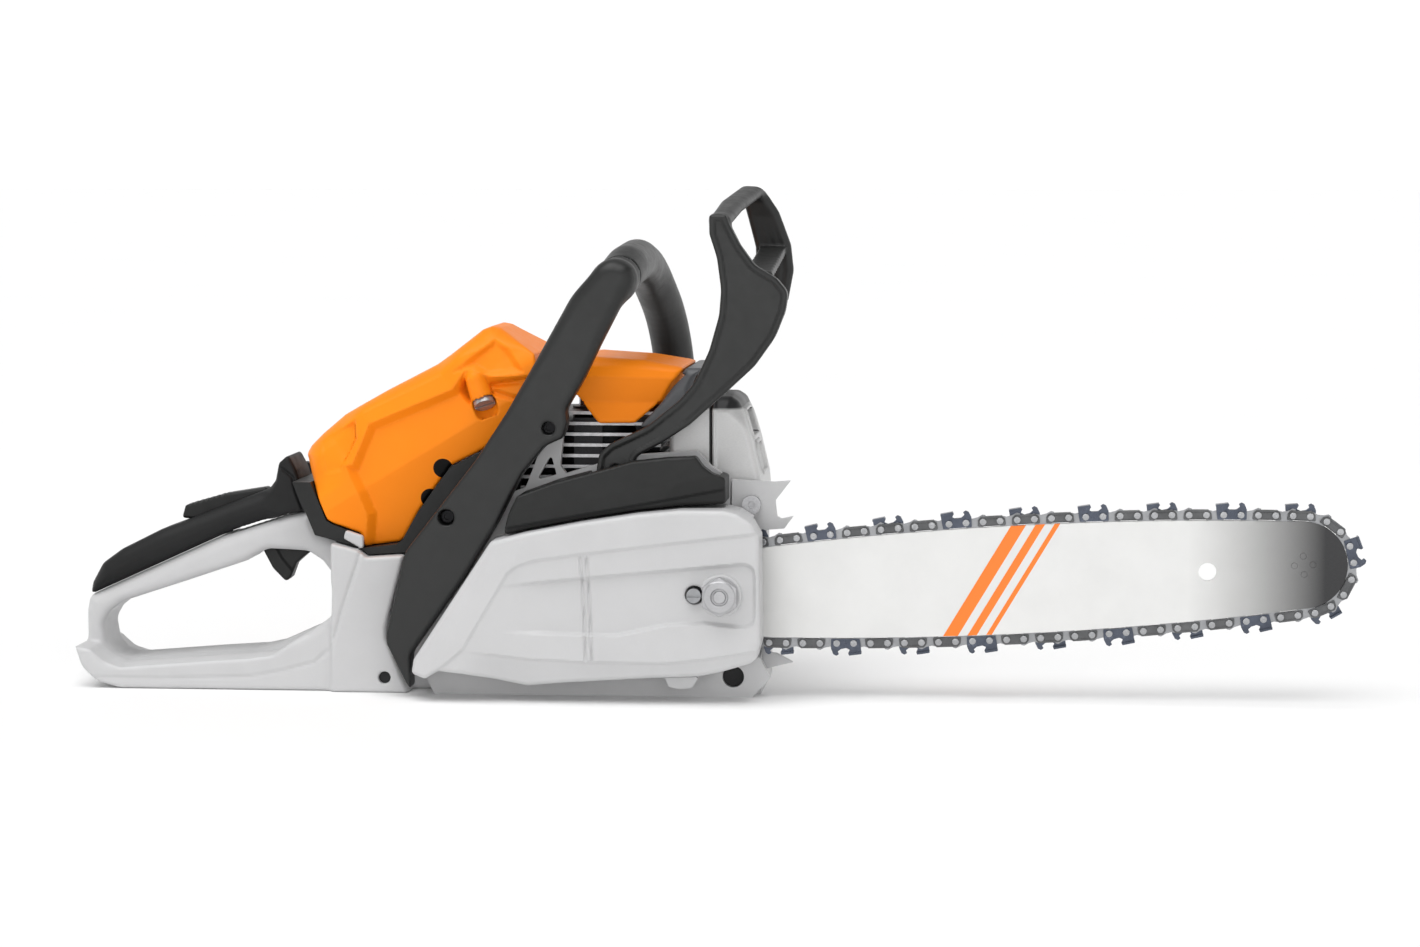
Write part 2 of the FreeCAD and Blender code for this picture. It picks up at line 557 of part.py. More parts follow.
def make_cylinder():
    y = ENGINE_Y
    barrel = joined([
        rod_z(0, y, 22.5, 86, 97),
        rod_z(0, y, 25, CYLINDER_DECK + 0.1, 150),
        box(-32, 32, 24, 75.9, 96.1, 100),
    ])
    fins = []
    for i in range(9):
        z = 106 + FIN_PITCH * i
        depth = 38 if i < 7 else 38 - 5 * (i - 6)
        plate = box(-depth, 41, 23, 83, z, z + 1.8)
        fins.append(plate)
    fins.append(box(-8, 8, 25, 81, 104, 152))
    fins.append(box(-36, 38, 47, 59, 104, 146))
    intake = joined([rod_x(y, INTAKE_Z, 11.6, -43, -20), box(-43, -39, 36, 70, 104, 132)])
    exhaust = joined([rod_x(y, 116, 12, 20, 44), box(41, 45.9, 34, 72, 103, 129)])
    plug_boss = rod_z(0, y, 12, 150, 157)
    block = joined([barrel, *fins, intake, exhaust, plug_boss])
    for cut in (
        rod_z(0, y, BORE_R, 80, 138), rod_z(0, y, 13, 137, 146), rod_z(0, y, 4.1, 140, 160),
        rod_x(y, INTAKE_Z, 8, -50, -10), rod_x(y, 116, 8, 10, 50),
    ):
        block = block.cut(cut)
    add("cylinder", block)
    plug = joined([rod_z(0, y, 4.0, 143, 158), rod_z(0, y, 8.5, 157.1, 163), rod_z(0, y, 5, 163, 171)])
    add("spark_plug", plug)
    boot = joined([rod_z(0, y, 8.2, 164, 179), between((0, y, 173), (8.6, y + 20, 173), 5.0)])
    boot = boot.cut(rod_z(0, y, 5.05, 150, 171.2))
    path = [
        (7.5, y + 17.5, 173), (9, y + 21, 173), (12, y + 30, 171), (14, y + 38, 150),
        (14, y + 38, 105.1),
    ]
    add("ignition_lead", joined([boot, tube(path, 2.5, 8)]))
    legs = [box(8, 13, 87, 92, 84, 94), box(31, 36, 87, 92, 76, 94)]
    module = joined([box(6, 36, 87, 95, 93, 105), *legs])
    add("ignition_module", module.cut(rod_y(0, CRANK_Z, 45.0, 80, 110)))


def make_muffler():
    seam_x = 70.0
    shell = prism(MUFFLER, 17, 93, 4).cut(inset_prism(MUFFLER, 18.2, 91.8, 1.2, 3))
    rear = shell.common(box(40, seam_x - 0.1, 0, 120, 80, 180))
    front = shell.common(box(seam_x + 0.1, 110, 0, 120, 80, 180))
    lip = prism(MUFFLER, 16, 94, 4).cut(inset_prism(MUFFLER, 10, 100, 1.0, 4))
    rim = lip.common(box(seam_x + 0.1, seam_x + 1.6, 0, 120, 80, 180))
    rear = rear.cut(rod_x(ENGINE_Y, 116, 8, 40, 60))
    outlet = box(88, 104, 34, 66, 141, 157)
    front = front.fuse(rim).cut(outlet).removeSplitter()
    add("muffler_rear_shell", rear)
    add("muffler_front_shell", front)


def make_starter():
    z = CRANK_Z
    outer = prism(STARTER_COVER, 84, 131, 7)
    inner = inset_prism(STARTER_COVER, 70, 128, WALL, 5)
    cover = outer.cut(inner)
    for i in range(9):
        slot = box(12, 37, 126, 134, z - 1.6, z + 1.6)
        slot.rotate(vec(0, 130, z), vec(0, 1, 0), 40 * i + 10)
        cover = cover.cut(slot)
    post = rod_y(0, z, 5.5, 108, 128.5)
    eyelet = ring_z(PULL_X, 112, 6, 2.6, 104, 113)
    px, pz = GUARD_PIVOT
    guard_pin = rod_y(px, pz, 2.95, 103, 112)
    lug = joined([box(13, 27, 96, 104, 106, 126), rod_y(px, pz, 7, 96, 104), guard_pin])
    cover = joined([cover, post, eyelet, lug]).cut(rod_z(PULL_X, 112, 2.6, 90, 140))
    cover = cover.cut(rod_z(14, 91, 3.2, 100, 120)).cut(box(45.6, 70, 60, 98.5, 0, 46.5))
    add("starter_cover", cover)
    pulley = joined([
        ring_y(0, z, 30, 5.6, 108, 109.5),
        ring_y(0, z, 24, 5.6, 109, 115),
        ring_y(0, z, 30, 5.6, 114.5, 116),
    ])
    add("starter_pulley", pulley)
    turns = [(2 * math.pi * i / 20, 9 + 3 * i / 20) for i in range(101)]
    outside = [((r + 0.4) * math.cos(a), z + (r + 0.4) * math.sin(a)) for a, r in turns]
    inside = [((r - 0.4) * math.cos(a), z + (r - 0.4) * math.sin(a)) for a, r in reversed(turns)]
    add("recoil_spring", prism(outside + inside, 117, 123))
    rope = rod_z(PULL_X, 112, 1.7, 9, 124.9)
    add("starter_rope", rope)
    crossbar = tube([(PULL_X - 20, 112, 129), (PULL_X, 112, 132), (PULL_X + 20, 112, 129)], 6, 30)
    grip = joined([rod_z(PULL_X, 112, 5.0, 113.3, 127), crossbar])
    add("starter_grip", grip.cut(rod_z(PULL_X, 112, 1.7, 100, 124.9)))


# ------------------------------------------------ handles, covers and controls
def make_rear():
    y = HANDLE_Y
    loop = prism(REAR_HOUSING, y - 19, y + 19, 2).cut(prism(HAND_HOLE, -10, 120, 5))
    rail = prism(REAR_HOUSING, 0, y + 30, 2).cut(prism(HAND_HOLE, -10, 120, 5))
    base_zone = [
        (-290, -1), (-90, -1), (-90, 40), (-150, 40), (-175, 20), (-262, 13), (-278, 22), (-290, 24),
    ]
    skirt = rail.common(prism(base_zone, -5, 90))
    shoulder = prism(REAR_HOUSING, -4, 92, 2).common(box(-141, -90, -10, 100, 0, 90))
    tank = box(-140, -68, 12, 92, 0, 74)
    cavity = box(-137, -71, 15, 89, 3, 71)
    housing = joined([loop, skirt, shoulder, tank])
    hollow = box(-204, -154, y - 13, y + 13, 78.5, 120)
    slot = box(-193, -154, y - 7.5, y + 7.5, 60, 100)
    for cut in (
        cavity, hollow, slot, rod_y(FUEL_CAP[0], FUEL_CAP[1], 15.1, 86, 100),
        rod_y(-111, 8.5, 3.4, -6, 4),
        rod_y(TRIGGER_PIVOT[0], TRIGGER_PIVOT[1], 2.05, y - 17, y + 17),
    ):
        housing = housing.cut(cut)
    add("rear_handle_housing", housing)
    grip = prism(REAR_GRIP, y - 19, y + 19, 1.5)
    room = box(-236, -174, y - 8, y + 8, 84, 125)
    under = box(-204, -166, y - 13, y + 13, 80, 100)
    grip = grip.cut(room).cut(under)
    grip = grip.cut(rod_y(LOCKOUT_PIVOT[0], LOCKOUT_PIVOT[1], 1.55, y - 12, y + 12))
    add("rear_grip", grip)
    trigger = prism(TRIGGER, y - 6, y + 6, 1.2)
    trigger_pin = rod_y(TRIGGER_PIVOT[0], TRIGGER_PIVOT[1], 2.0, y - 16, y + 16)
    add("throttle_trigger", joined([trigger, trigger_pin]))
    lockout = prism(LOCKOUT, y - 6.5, y + 6.5, 1.0)
    lockout_pin = rod_y(LOCKOUT_PIVOT[0], LOCKOUT_PIVOT[1], 1.5, y - 11.7, y + 11.7)
    add("throttle_lockout", joined([lockout, lockout_pin]))


def make_caps():
    x, z = FUEL_CAP
    fuel = joined([rod_y(x, z, 15, 89.3, 92.4), rod_y(x, z, 18, 92.3, 99)])
    for low in (z - 11, z + 4):
        fuel = fuel.cut(box(x - 20, x + 20, 95, 101, low, low + 7))
    add("fuel_cap", fuel)
    x, z = OIL_CAP
    oil = joined([rod_y(x, z, 12.5, 95.3, 98.4), rod_y(x, z, 16, 98.3, 105)])
    for low in (z - 10, z + 3.5):
        oil = oil.cut(box(x - 20, x + 20, 101, 106, low, low + 6.5))
    add("oil_cap", oil)


def make_intake():
    y = ENGINE_Y
    z = INTAKE_Z
    base = prism(FILTER_BASE, 4, 96).cut(prism(BASE_ROOM, 7, 93)).cut(rod_x(y, z, 15.5, -70, -30))
    base = joined([base, rod_y(-73, 100, 6, -5.8, 5)]).cut(rod_y(-73, 100, 2.3, -6, 8))
    base = base.cut(rod_y(CHOKE_PIVOT[0], CHOKE_PIVOT[1], 1.95, 85, 100))
    add("filter_base", base)
    boot = joined([rod_x(y, z, 11, -60, -43.2), rod_x(y, z, 15, -60, -57)])
    add("intake_boot", boot.cut(rod_x(y, z, 7, -70, -30)))
    carb = joined([box(-92, -60.2, 36, 70, 103.5, 134), rod_x(y, z, 13, -98, -92)])
    carb = carb.cut(rod_x(y, z, 8, -100, -55)).cut(rod_y(THROTTLE_X, z, 2.1, 30, 80))
    carb = carb.cut(box(THROTTLE_X - 1.5, THROTTLE_X + 1.5, 36, 70, z - 8, z + 8))
    add("carburetor", carb)
    shaft = rod_y(THROTTLE_X, z, 2.0, 31, 76)
    plate = rod_x(y, z, 7.7, THROTTLE_X - 0.6, THROTTLE_X + 0.6).common(box(-80, -60, 40, 66, 100, 130))
    lever = box(THROTTLE_X - 1.5, THROTTLE_X + 1.5, 76, 78, z - 3, z + 12)
    add("throttle_shaft", joined([shaft, plate, lever]))
    panel = [(-146, 116), (-98.1, 116), (-98.1, 162), (-113, 160), (-140, 143), (-146, 139)]
    add("air_filter", prism(panel, 20, 86, 2))


def make_covers():
    cover = prism(FILTER_COVER, 3, 97, 2.5)
    hollow = inset_prism(FILTER_COVER, 3 + WALL, 97 - WALL, WALL, 1.5)
    cover = cover.cut(hollow)
    for x, z in ((-79.5, 124.5), (-87, 107.5)):
        cover = cover.cut(rod_y(x, z, 5.0, -1, 12))
    mouth = prism([
        (-190, 40), (-160, 101), (-140, 101), (-126, 95), (-121.5, 87), (-106, 87), (-97, 103),
        (-86, 119), (-78, 129.5), (-61, 138), (-42, 150), (-20, 172), (-20, 60),
    ], 3 + WALL, 97 - WALL)
    cover = cover.cut(mouth)
    cover = cover.cut(box(-60, -10, 8, 92, 120, 176))
    face = vec(*COVER_LOCK)
    inward = vec(*LOCK_AXIS).normalize()
    holder = Part.makeCylinder(7.4, 11, face + inward * 3, inward)
    holder = holder.common(box(-80, -30, 3.2, 40, 140, 200))
    bore = Part.makeCylinder(6.0, 25, face - inward, inward)
    cover = cover.cut(rod_y(-55.5, 158.5, 7.2, -1, 9)).fuse(holder).cut(bore).removeSplitter()
    add("filter_cover", cover)
    lock = Part.makeCylinder(5.8, 13, face, inward)
    slot = Part.makeBox(14, 1.6, 3, vec(-7, -0.8, -1.5))
    slot.Placement = FreeCAD.Placement(face, FreeCAD.Rotation(vec(0, 0, 1), inward))
    add("filter_cover_lock", lock.cut(slot))
    shroud = prism(FRONT_SHROUD, 6, 96, 2).cut(inset_prism(FRONT_SHROUD, 8, 94, 2, 1))
    shroud = shroud.cut(box(-16, 41, 8, 94, 140, 170)).cut(box(-30, 34, 12, 90, 140, 182))
    add("front_shroud", shroud)
    trim = prism(SHROUD_TRIM, 6, 96, 1).cut(box(20, 80, 9, 94.2, 140, 178))
    add("shroud_trim", trim)
    brake = prism(BRAKE_COVER, -30, PAD_Y - 0.2, 1.5).cut(inset_prism(BRAKE_COVER, -27, 10, WALL, 1))
    guard_pin = rod_y(GUARD_PIVOT[0], GUARD_PIVOT[1], 2.95, -28, PAD_Y - 0.3)
    add("brake_cover", joined([brake.cut(box(4, 78, -18, 10, 118, 140)), guard_pin]))
    cover = prism(SPROCKET_COVER, COVER_Y, 2.0, 4)
    cover = cover.cut(inset_prism(SPROCKET_COVER, COVER_Y + WALL, 10, WALL, 2))
    cover = cover.cut(box(90, 110, -12, 10, 20, 96)).cut(box(-20, 110, -12, 10, 96, 100))
    cover = cover.cut(rod_y(STUD_X, STUD_Z, 4.6, -50, -30))
    boss = ring_y(STUD_X, STUD_Z, 9, 4.6, COVER_Y + WALL - 0.5, -2.2)
    cover = cover.fuse(boss).removeSplitter()
    add("sprocket_cover", cover.cut(rod_y(TENSION_X, STUD_Z, 4.5, -50, -30)))
    hexagon = hexagon_y(STUD_X, STUD_Z, 19, COVER_Y - 7.5, COVER_Y - 0.2)
    nut = joined([hexagon, rod_y(STUD_X, STUD_Z, 10.2, COVER_Y - 1.4, COVER_Y - 0.05)])
    add("bar_nut", nut.cut(rod_y(STUD_X, STUD_Z, 4.0, -60, -30)))


def make_tensioner():
    screw = joined([rod_y(TENSION_X, STUD_Z, 4.0, -41, -36), rod_y(TENSION_X, STUD_Z, 2.6, -36, 6)])
    screw = screw.cut(box(TENSION_X - 5, TENSION_X + 5, -42, -39.5, STUD_Z - 0.7, STUD_Z + 0.7))
    screw = screw.fuse(rod_y(TENSION_X, STUD_Z, 4.3, 4.2, 7.6)).removeSplitter()
    add("tension_screw", screw)
    x, z = 70.6, 44.3
    block = box(x - 5, x + 5, 3.6, 8.2, z - 5, z + 5)
    add("tension_slider", joined([block, rod_y(x, z, 3.0, -3.5, 4)]))


def make_front():
    arm = prism(HANDLE_ARM, -22, -6, 5)
    path = [
        (24, -14, 233), (29, 26, 236), (28, 80, 238), (27, 130, 230), (33, 164, 196), (38, 172, 130),
        (38, 168, 60), (35, 160, 20), (35, 131.2, 20),
    ]
    handle = arm.fuse(tube(path, 12.0, 34)).removeSplitter()
    for (x, z), r in (((-73, 100), 4.5), ((-16.4, 149.4), 3.5)):
        handle = handle.cut(rod_y(x, z, r, -30, -12)).cut(rod_y(x, z, 2.2, -30, 0))
    add("front_handle", handle)


def make_guard():
    right_arm = prism(GUARD_ARM, -16, -6, 3)
    top_path = [
        (77, -11, 260.5), (80, 40, 269), (84.5, 99, 276), (93, 109, 261), (98.5, 112, 243),
        (100.5, 113, 231), (98, 113, 214),
    ]
    left_path = [(98, 113, 214), (70, 113, 176), (44, 112, 150), (27, 110, 136), (20, 108, 127)]
    sill = [(-8, 230.5), (-8, 235), (113, 246), (113, 241.5), (-8, 230.5)]
    web = Part.Face(Part.makePolygon([vec(91, y, z) for y, z in sill])).extrude(vec(13, 0, 0))
    px, pz = GUARD_PIVOT
    hub = rod_y(px, pz, 6.5, 104.4, 112)
    guard = joined([right_arm, tube(top_path, 5.2, 16), web, tube(left_path, 4.0, 30), hub])
    add("hand_guard", guard.cut(rod_y(px, pz, 3.05, -30, 120)))


def make_trim():
    spike = prism([
        (82, 120), (105.5, 118.5), (114.5, 119.3), (106, 108.2), (107, 99.5), (109.5, 98.2),
        (116, 99.6), (111, 92.8), (101.5, 92), (101.5, 24), (107, 23.4), (116, 18.5), (100, 14.5),
        (98.2, 24), (98.2, 91.8), (88, 95), (82, 96),
    ], 6.6, 9.7)
    spike = spike.cut(rod_y(93, 106, 2.4, 5, 12))
    add("bumper_spike", spike)
    screws = []
    for x, z, head, head_r in ((-73, 100, -12.1, 3.4), (-16.4, 149.4, -12.1, 3.4), (93, 106, 6.5, 5.2)):
        screw = joined([rod_y(x, z, head_r, head - 4.2, head), rod_y(x, z, 2.1, head - 1, head + 9)])
        screws.append(screw.cut(rod_y(x, z, 1.9, head - 6, head - 2.4)))
    add("housing_screws", *screws)
    hook = [(46.5, 13.3), (66.5, 14.0), (62.5, 7.9), (55.4, 7.1), (49.7, 8.5), (48.3, 12.5)]
    add("chain_catcher", prism(hook, -24, -4.2, 1.0))


def make_choke():
    x, z = CHOKE_PIVOT
    pivot = [rod_y(x, z, 4.5, 96.3, 101.5), rod_y(x, z, 1.9, 88, 98)]
    tab = [(x - 3, z - 3), (x - 22, z + 4), (x - 24, z + 9), (x - 20, z + 11), (x + 2, z + 4)]
    add("master_control_lever", joined([*pivot, prism(tab, 98, 105, 1.5)]))


def make_buffers():
    add("vibration_buffers",
        rod_y(83.6, 11.5, 5.9, -1, 5), rod_y(-111, 8.5, 3.3, -2, 4),
        *[rod_x(y, 46, 6, -67.8, -40.2) for y in (32, 66)])


def make_all():
    make_chain()
    make_bar()
    make_housing()
    make_crank()
    make_clutch()
    make_cylinder()
    make_muffler()
    make_starter()
    make_rear()
    make_caps()
    make_intake()
    make_covers()
    make_tensioner()
    make_front()
    make_guard()
    make_trim()
    make_choke()
    make_buffers()


def export():
    """Puts the origin at the middle of the whole box, on the ground, and writes the files."""
    whole = Part.makeCompound(list(PIECES.values())).BoundBox
    shift = vec(-(whole.XMin + whole.XMax) / 2, -(whole.YMin + whole.YMax) / 2, -whole.ZMin)
    os.makedirs("parts", exist_ok=True)
    for name, shape in PIECES.items():
        moved = shape.copy()
        moved.translate(shift)
        moved.exportStep(f"parts/{name}.step")
        if not shape.isValid():
            print("not valid:", name)
    print(f"{len(PIECES)} nodes, shift {shift.x:.3f} {shift.y:.3f} {shift.z:.3f}, nose {NOSE_X:.3f}")
    print(f"box {whole.XLength:.1f} x {whole.YLength:.1f} x {whole.ZLength:.1f}")


make_all()
export()
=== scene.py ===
import math

import bpy
import numpy as np
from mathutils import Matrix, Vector


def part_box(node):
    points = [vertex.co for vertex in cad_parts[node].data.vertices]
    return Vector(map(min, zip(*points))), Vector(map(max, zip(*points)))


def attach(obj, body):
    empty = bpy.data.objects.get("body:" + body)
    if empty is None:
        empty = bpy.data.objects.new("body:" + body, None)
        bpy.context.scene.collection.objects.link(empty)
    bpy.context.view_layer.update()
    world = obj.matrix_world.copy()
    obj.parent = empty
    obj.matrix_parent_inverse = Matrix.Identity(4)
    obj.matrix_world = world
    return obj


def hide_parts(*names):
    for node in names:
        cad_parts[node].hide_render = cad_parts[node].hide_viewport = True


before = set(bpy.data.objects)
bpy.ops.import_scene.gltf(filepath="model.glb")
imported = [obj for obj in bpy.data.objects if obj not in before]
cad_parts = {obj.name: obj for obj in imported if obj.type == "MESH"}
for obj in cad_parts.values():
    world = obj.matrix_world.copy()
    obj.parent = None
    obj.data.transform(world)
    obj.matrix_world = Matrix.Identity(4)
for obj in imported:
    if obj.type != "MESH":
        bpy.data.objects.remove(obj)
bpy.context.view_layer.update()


# ---------- places, in millimetres
# Everything is drawn in the saw's own frame: the crankshaft lies on X = 0, the guide bar's middle plane on
# Y = 0 and the ground on Z = 0. The row frame stands a fixed step away, which the bar stud and the guide
# bar give.
MM = 0.001
STUD = (79.5, 60.5)
stud_low, stud_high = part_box("bar_stud")
bar_low, bar_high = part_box("guide_bar")
ORIGIN = Vector(((stud_low.x + stud_high.x) / 2 - STUD[0] * MM, (bar_low.y + bar_high.y) / 2, 0.0))


def row(x, y, z):
    """From the saw's own millimetres to the row frame's metres."""
    return ORIGIN + Vector((x, y, z)) * MM


# ---------- volumes and their surfaces
FAR = 1e3


def smooth_union(a, b, blend):
    if blend <= 0:
        return np.minimum(a, b)
    share = np.clip(0.5 + 0.5 * (b - a) / blend, 0, 1)
    return b * (1 - share) + a * share - blend * share * (1 - share)


def smooth_step(value):
    t = np.clip(value, 0, 1)
    return t * t * (3 - 2 * t)


def arc(before, corner, after, bend, share, steps):
    """The points that round a corner, and their reach: at most that share of the runs on either side."""
    a, b = before - corner, after - corner
    long_a, long_b = np.linalg.norm(a), np.linalg.norm(b)
    turn = math.pi - math.acos(np.clip(a @ b / (long_a * long_b), -1, 1))
    reach = min(bend * math.tan(turn / 2), share * long_a, share * long_b)
    start, end = corner + a / long_a * reach, corner + b / long_b * reach
    times = [k / steps for k in range(steps + 1)]
    return [(1 - t) ** 2 * start + 2 * t * (1 - t) * corner + t * t * end for t in times], reach


def soft_corners(points, radius):
    """A closed outline whose corners are arcs; radius is one number, or one for each point."""
    path = [np.array(p, float) for p in points]
    radii = radius if isinstance(radius, list) else [radius] * len(path)
    result = []
    for before, corner, after, bend in zip(path[-1:] + path, path, path[1:] + path[:1], radii):
        curve, reach = arc(before, corner, after, bend, 0.45, 5)
        result += [tuple(p) for p in curve] if reach >= 0.3 else [tuple(corner)]
    return result


def rounded(across, along, edge):
    """What two shapes have in common, with the edge between them rounded."""
    a, b = across + edge, along + edge
    return np.minimum(np.maximum(a, b), 0) + np.hypot(np.maximum(a, 0), np.maximum(b, 0)) - edge


CUBE = [(i, j, k) for i in (0, 1) for j in (0, 1) for k in (0, 1)]      # the corners of a grid cell


def new_object(name, data):
    made = bpy.data.objects.new(name, data)
    bpy.context.scene.collection.objects.link(made)
    return made


class Volume:
    """A block of space in which a piece is shaped as a distance field: negative inside, in millimetres."""

    def __init__(self, low, high, step):
        self.step = step
        axes = [np.arange(a - 2 * step, b + 3 * step, step, dtype=np.float32) for a, b in zip(low, high)]
        self.x, self.y, self.z = axes[0][:, None, None], axes[1][None, :, None], axes[2][None, None, :]
        self.low = np.array([axis[0] for axis in axes], float)
        self.field = np.full([len(axis) for axis in axes], FAR, np.float32)

    def line(self, points):
        """Distance to an open line in the XZ plane, the same for every Y."""
        x, z = self.x[:, 0], self.z[0]
        nearest = np.full((x.shape[0], z.shape[1]), FAR * FAR)
        for (x0, z0), (x1, z1) in zip(points, points[1:]):
            dx, dz = x1 - x0, z1 - z0
            t = np.clip(((x - x0) * dx + (z - z0) * dz) / (dx * dx + dz * dz + 1e-9), 0, 1)
            nearest = np.minimum(nearest, (x - x0 - t * dx) ** 2 + (z - z0 - t * dz) ** 2)
        return np.sqrt(nearest).astype(np.float32)[:, None, :]

    def outline(self, points, radius=0.0):
        """Signed distance to an outline in the XZ plane, the same for every Y."""
        points = soft_corners(points, radius) if radius else points
        x, z = self.x[:, 0], self.z[0]
        inside = np.zeros((x.shape[0], z.shape[1]), bool)
        for (x0, z0), (x1, z1) in zip(points, points[1:] + points[:1]):
            if z1 != z0:
                inside ^= ((z0 > z) != (z1 > z)) & (x < (z - z0) * (x1 - x0) / (z1 - z0) + x0)
        away = self.line(points + points[:1])
        return np.where(inside[:, None, :], -away, away)

    def beyond(self, start, end):
        """Distance in the XZ plane beyond a line: positive on its left, with X to the right and Z up."""
        dx, dz = end[0] - start[0], end[1] - start[1]
        return (dx * (self.z - start[1]) - dz * (self.x - start[0])) / math.hypot(dx, dz)

    def slab(self, flat, y0, y1, edge=0.0):
        """A flat shape with rounded edges between two Y faces; y0 and y1 may vary over X and Z."""
        return rounded(flat, np.maximum(y0 - self.y, self.y - y1), edge)

    def block(self, x0, x1, y0, y1, z0, z1, edge=0.0):
        parts = [np.maximum(a - v, v - b) + edge for v, a, b in
                 ((self.x, x0, x1), (self.y, y0, y1), (self.z, z0, z1))]
        outside = np.sqrt(sum(np.maximum(p, 0) ** 2 for p in parts))
        return np.minimum(np.maximum(np.maximum(parts[0], parts[1]), parts[2]), 0) + outside - edge

    def round_y(self, x, z, radius, y0, y1, edge=0.0):
        return self.slab(np.hypot(self.x - x, self.z - z) - radius, y0, y1, edge)

    def round_x(self, y, z, radius, x0, x1, edge=0.0):
        flat = np.hypot(self.y - y, self.z - z) - radius
        return rounded(flat, np.maximum(x0 - self.x, self.x - x1), edge)

    def round_z(self, x, y, radius, z0, z1, edge=0.0):
        flat = np.hypot(self.x - x, self.y - y) - radius
        return rounded(flat, np.maximum(z0 - self.z, self.z - z1), edge)

    def add(self, shape, blend=0.0):
        self.field = smooth_union(self.field, shape, blend).astype(np.float32)

    def cut(self, shape, blend=0.0):
        self.field = -smooth_union(-self.field, shape, blend).astype(np.float32)

    def keep(self, shape, blend=0.0):
        self.cut(-shape, blend)

    def add_tube(self, points, radius, blend=0.0):
        """A round bar along close points; radius is one number, or one for each point."""
        radii = radius if isinstance(radius, list) else [radius] * len(points)
        tube = np.full(self.field.shape, FAR, np.float32)
        grid = (self.x.ravel(), self.y.ravel(), self.z.ravel())
        for a, b, ra, rb in zip(points, points[1:], radii, radii[1:]):
            a, b = np.array(a, float), np.array(b, float)
            reach = max(ra, rb) + 3 * self.step + blend
            window = tuple(slice(np.searchsorted(g, min(a[i], b[i]) - reach),
                                 np.searchsorted(g, max(a[i], b[i]) + reach)) for i, g in enumerate(grid))
            x = self.x[window[0]] - a[0]
            y = self.y[:, window[1]] - a[1]
            z = self.z[:, :, window[2]] - a[2]
            d = b - a
            t = np.clip((x * d[0] + y * d[1] + z * d[2]) / (d @ d), 0, 1)
            away = np.sqrt((x - t * d[0]) ** 2 + (y - t * d[1]) ** 2 + (z - t * d[2]) ** 2)
            tube[window] = np.minimum(tube[window], away - (ra + (rb - ra) * t))
        self.add(tube, blend)

    def surface(self):
        """Points and quads of the surface where the field is zero, a point for each cell it crosses."""
        inside = self.field < 0
        shape = np.array(self.field.shape) - 1
        count = np.zeros(shape, np.int8)
        for i, j, k in CUBE:
            count += inside[i:i + shape[0], j:j + shape[1], k:k + shape[2]]
        cells = np.argwhere((count > 0) & (count < 8))
        values = [self.field[tuple((cells + corner).T)] for corner in CUBE]
        total, hits = np.zeros((len(cells), 3)), np.zeros(len(cells))
        for a in range(8):
            for b in range(a + 1, 8):
                step = np.array(CUBE[b]) - CUBE[a]
                if abs(step).sum() != 1:
                    continue
                crossed = (values[a] < 0) != (values[b] < 0)
                share = np.where(crossed, values[a] / np.where(crossed, values[a] - values[b], 1), 0)
                total += crossed[:, None] * (np.array(CUBE[a]) + share[:, None] * step)
                hits += crossed
        points = self.low + (cells + total / hits[:, None]) * self.step
        number = np.full(shape, -1, np.int32)
        number[tuple(cells.T)] = np.arange(len(cells))
        quads = []
        for axis in range(3):
            u, v = (axis + 1) % 3, (axis + 2) % 3
            ahead = [slice(None)] * 3
            here = [slice(None)] * 3
            ahead[axis], here[axis] = slice(1, None), slice(None, -1)
            edges = np.argwhere(inside[tuple(here)] != inside[tuple(ahead)])
            along_u, along_v = edges[:, u], edges[:, v]
            edges = edges[(along_u > 0) & (along_v > 0) & (along_u < shape[u]) & (along_v < shape[v])]
            step_u, step_v = np.eye(3, dtype=int)[u], np.eye(3, dtype=int)[v]
            moves = (0 * step_u, step_u, step_u + step_v, step_v)
            ring = np.stack([number[tuple((edges - move).T)] for move in moves], 1)
            outward = inside[tuple(edges.T)]
            ring[~outward] = ring[~outward][:, ::-1]
            quads.append(ring)
        quads = np.concatenate(quads)
        return points, quads[(quads >= 0).all(1)]

    def slope(self, points):
        """The field and its gradient at points, between the grid's own values."""
        place = (points - self.low) / self.step
        base = np.clip(np.floor(place).astype(int), 0, np.array(self.field.shape) - 2)
        share = place - base
        value = np.zeros(len(points))
        gradient = np.zeros((len(points), 3))
        for corner in CUBE:
            field = self.field[tuple((base + corner).T)]
            weight = [np.where(s, share[:, n], 1 - share[:, n]) for n, s in enumerate(corner)]
            value += field * weight[0] * weight[1] * weight[2]
            for n, s in enumerate(corner):
                gradient[:, n] += field * (1 if s else -1) * weight[n - 2] * weight[n - 1]
        return value, gradient / self.step

    def piece(self, name, body, node, slot, finish=None):
        """Makes the surface a piece that rides on a body and stands for a CAD node, whose part it hides; the
        piece takes the finish, or else the slot's finish.
        """
        points, quads = self.surface()
        for _ in range(2):
            value, gradient = self.slope(points)
            pull = value / np.maximum((gradient ** 2).sum(1), 0.25)
            points = points - np.clip(pull, -0.4, 0.4)[:, None] * gradient
        gradient = self.slope(points)[1]
        normals = gradient / np.maximum(np.linalg.norm(gradient, axis=1, keepdims=True), 1e-6)
        mesh = bpy.data.meshes.new(name)
        placed = points * MM + np.array(ORIGIN)
        mesh.from_pydata(placed.tolist(), [], quads.tolist())
        mesh.update()
        mesh.shade_smooth()
        mesh.normals_split_custom_set_from_vertices(normals.tolist())
        mesh.materials.append(FINISHES[finish or slot])
        made = new_object(name, mesh)
        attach(made, body)
        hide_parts(node)


# ---------- materials
def shade(colour, share):
    """A colour made lighter for a share above 0 and darker below 0, in proportion to itself."""
    return tuple(min(1.0, c * (1 + share)) for c in colour)


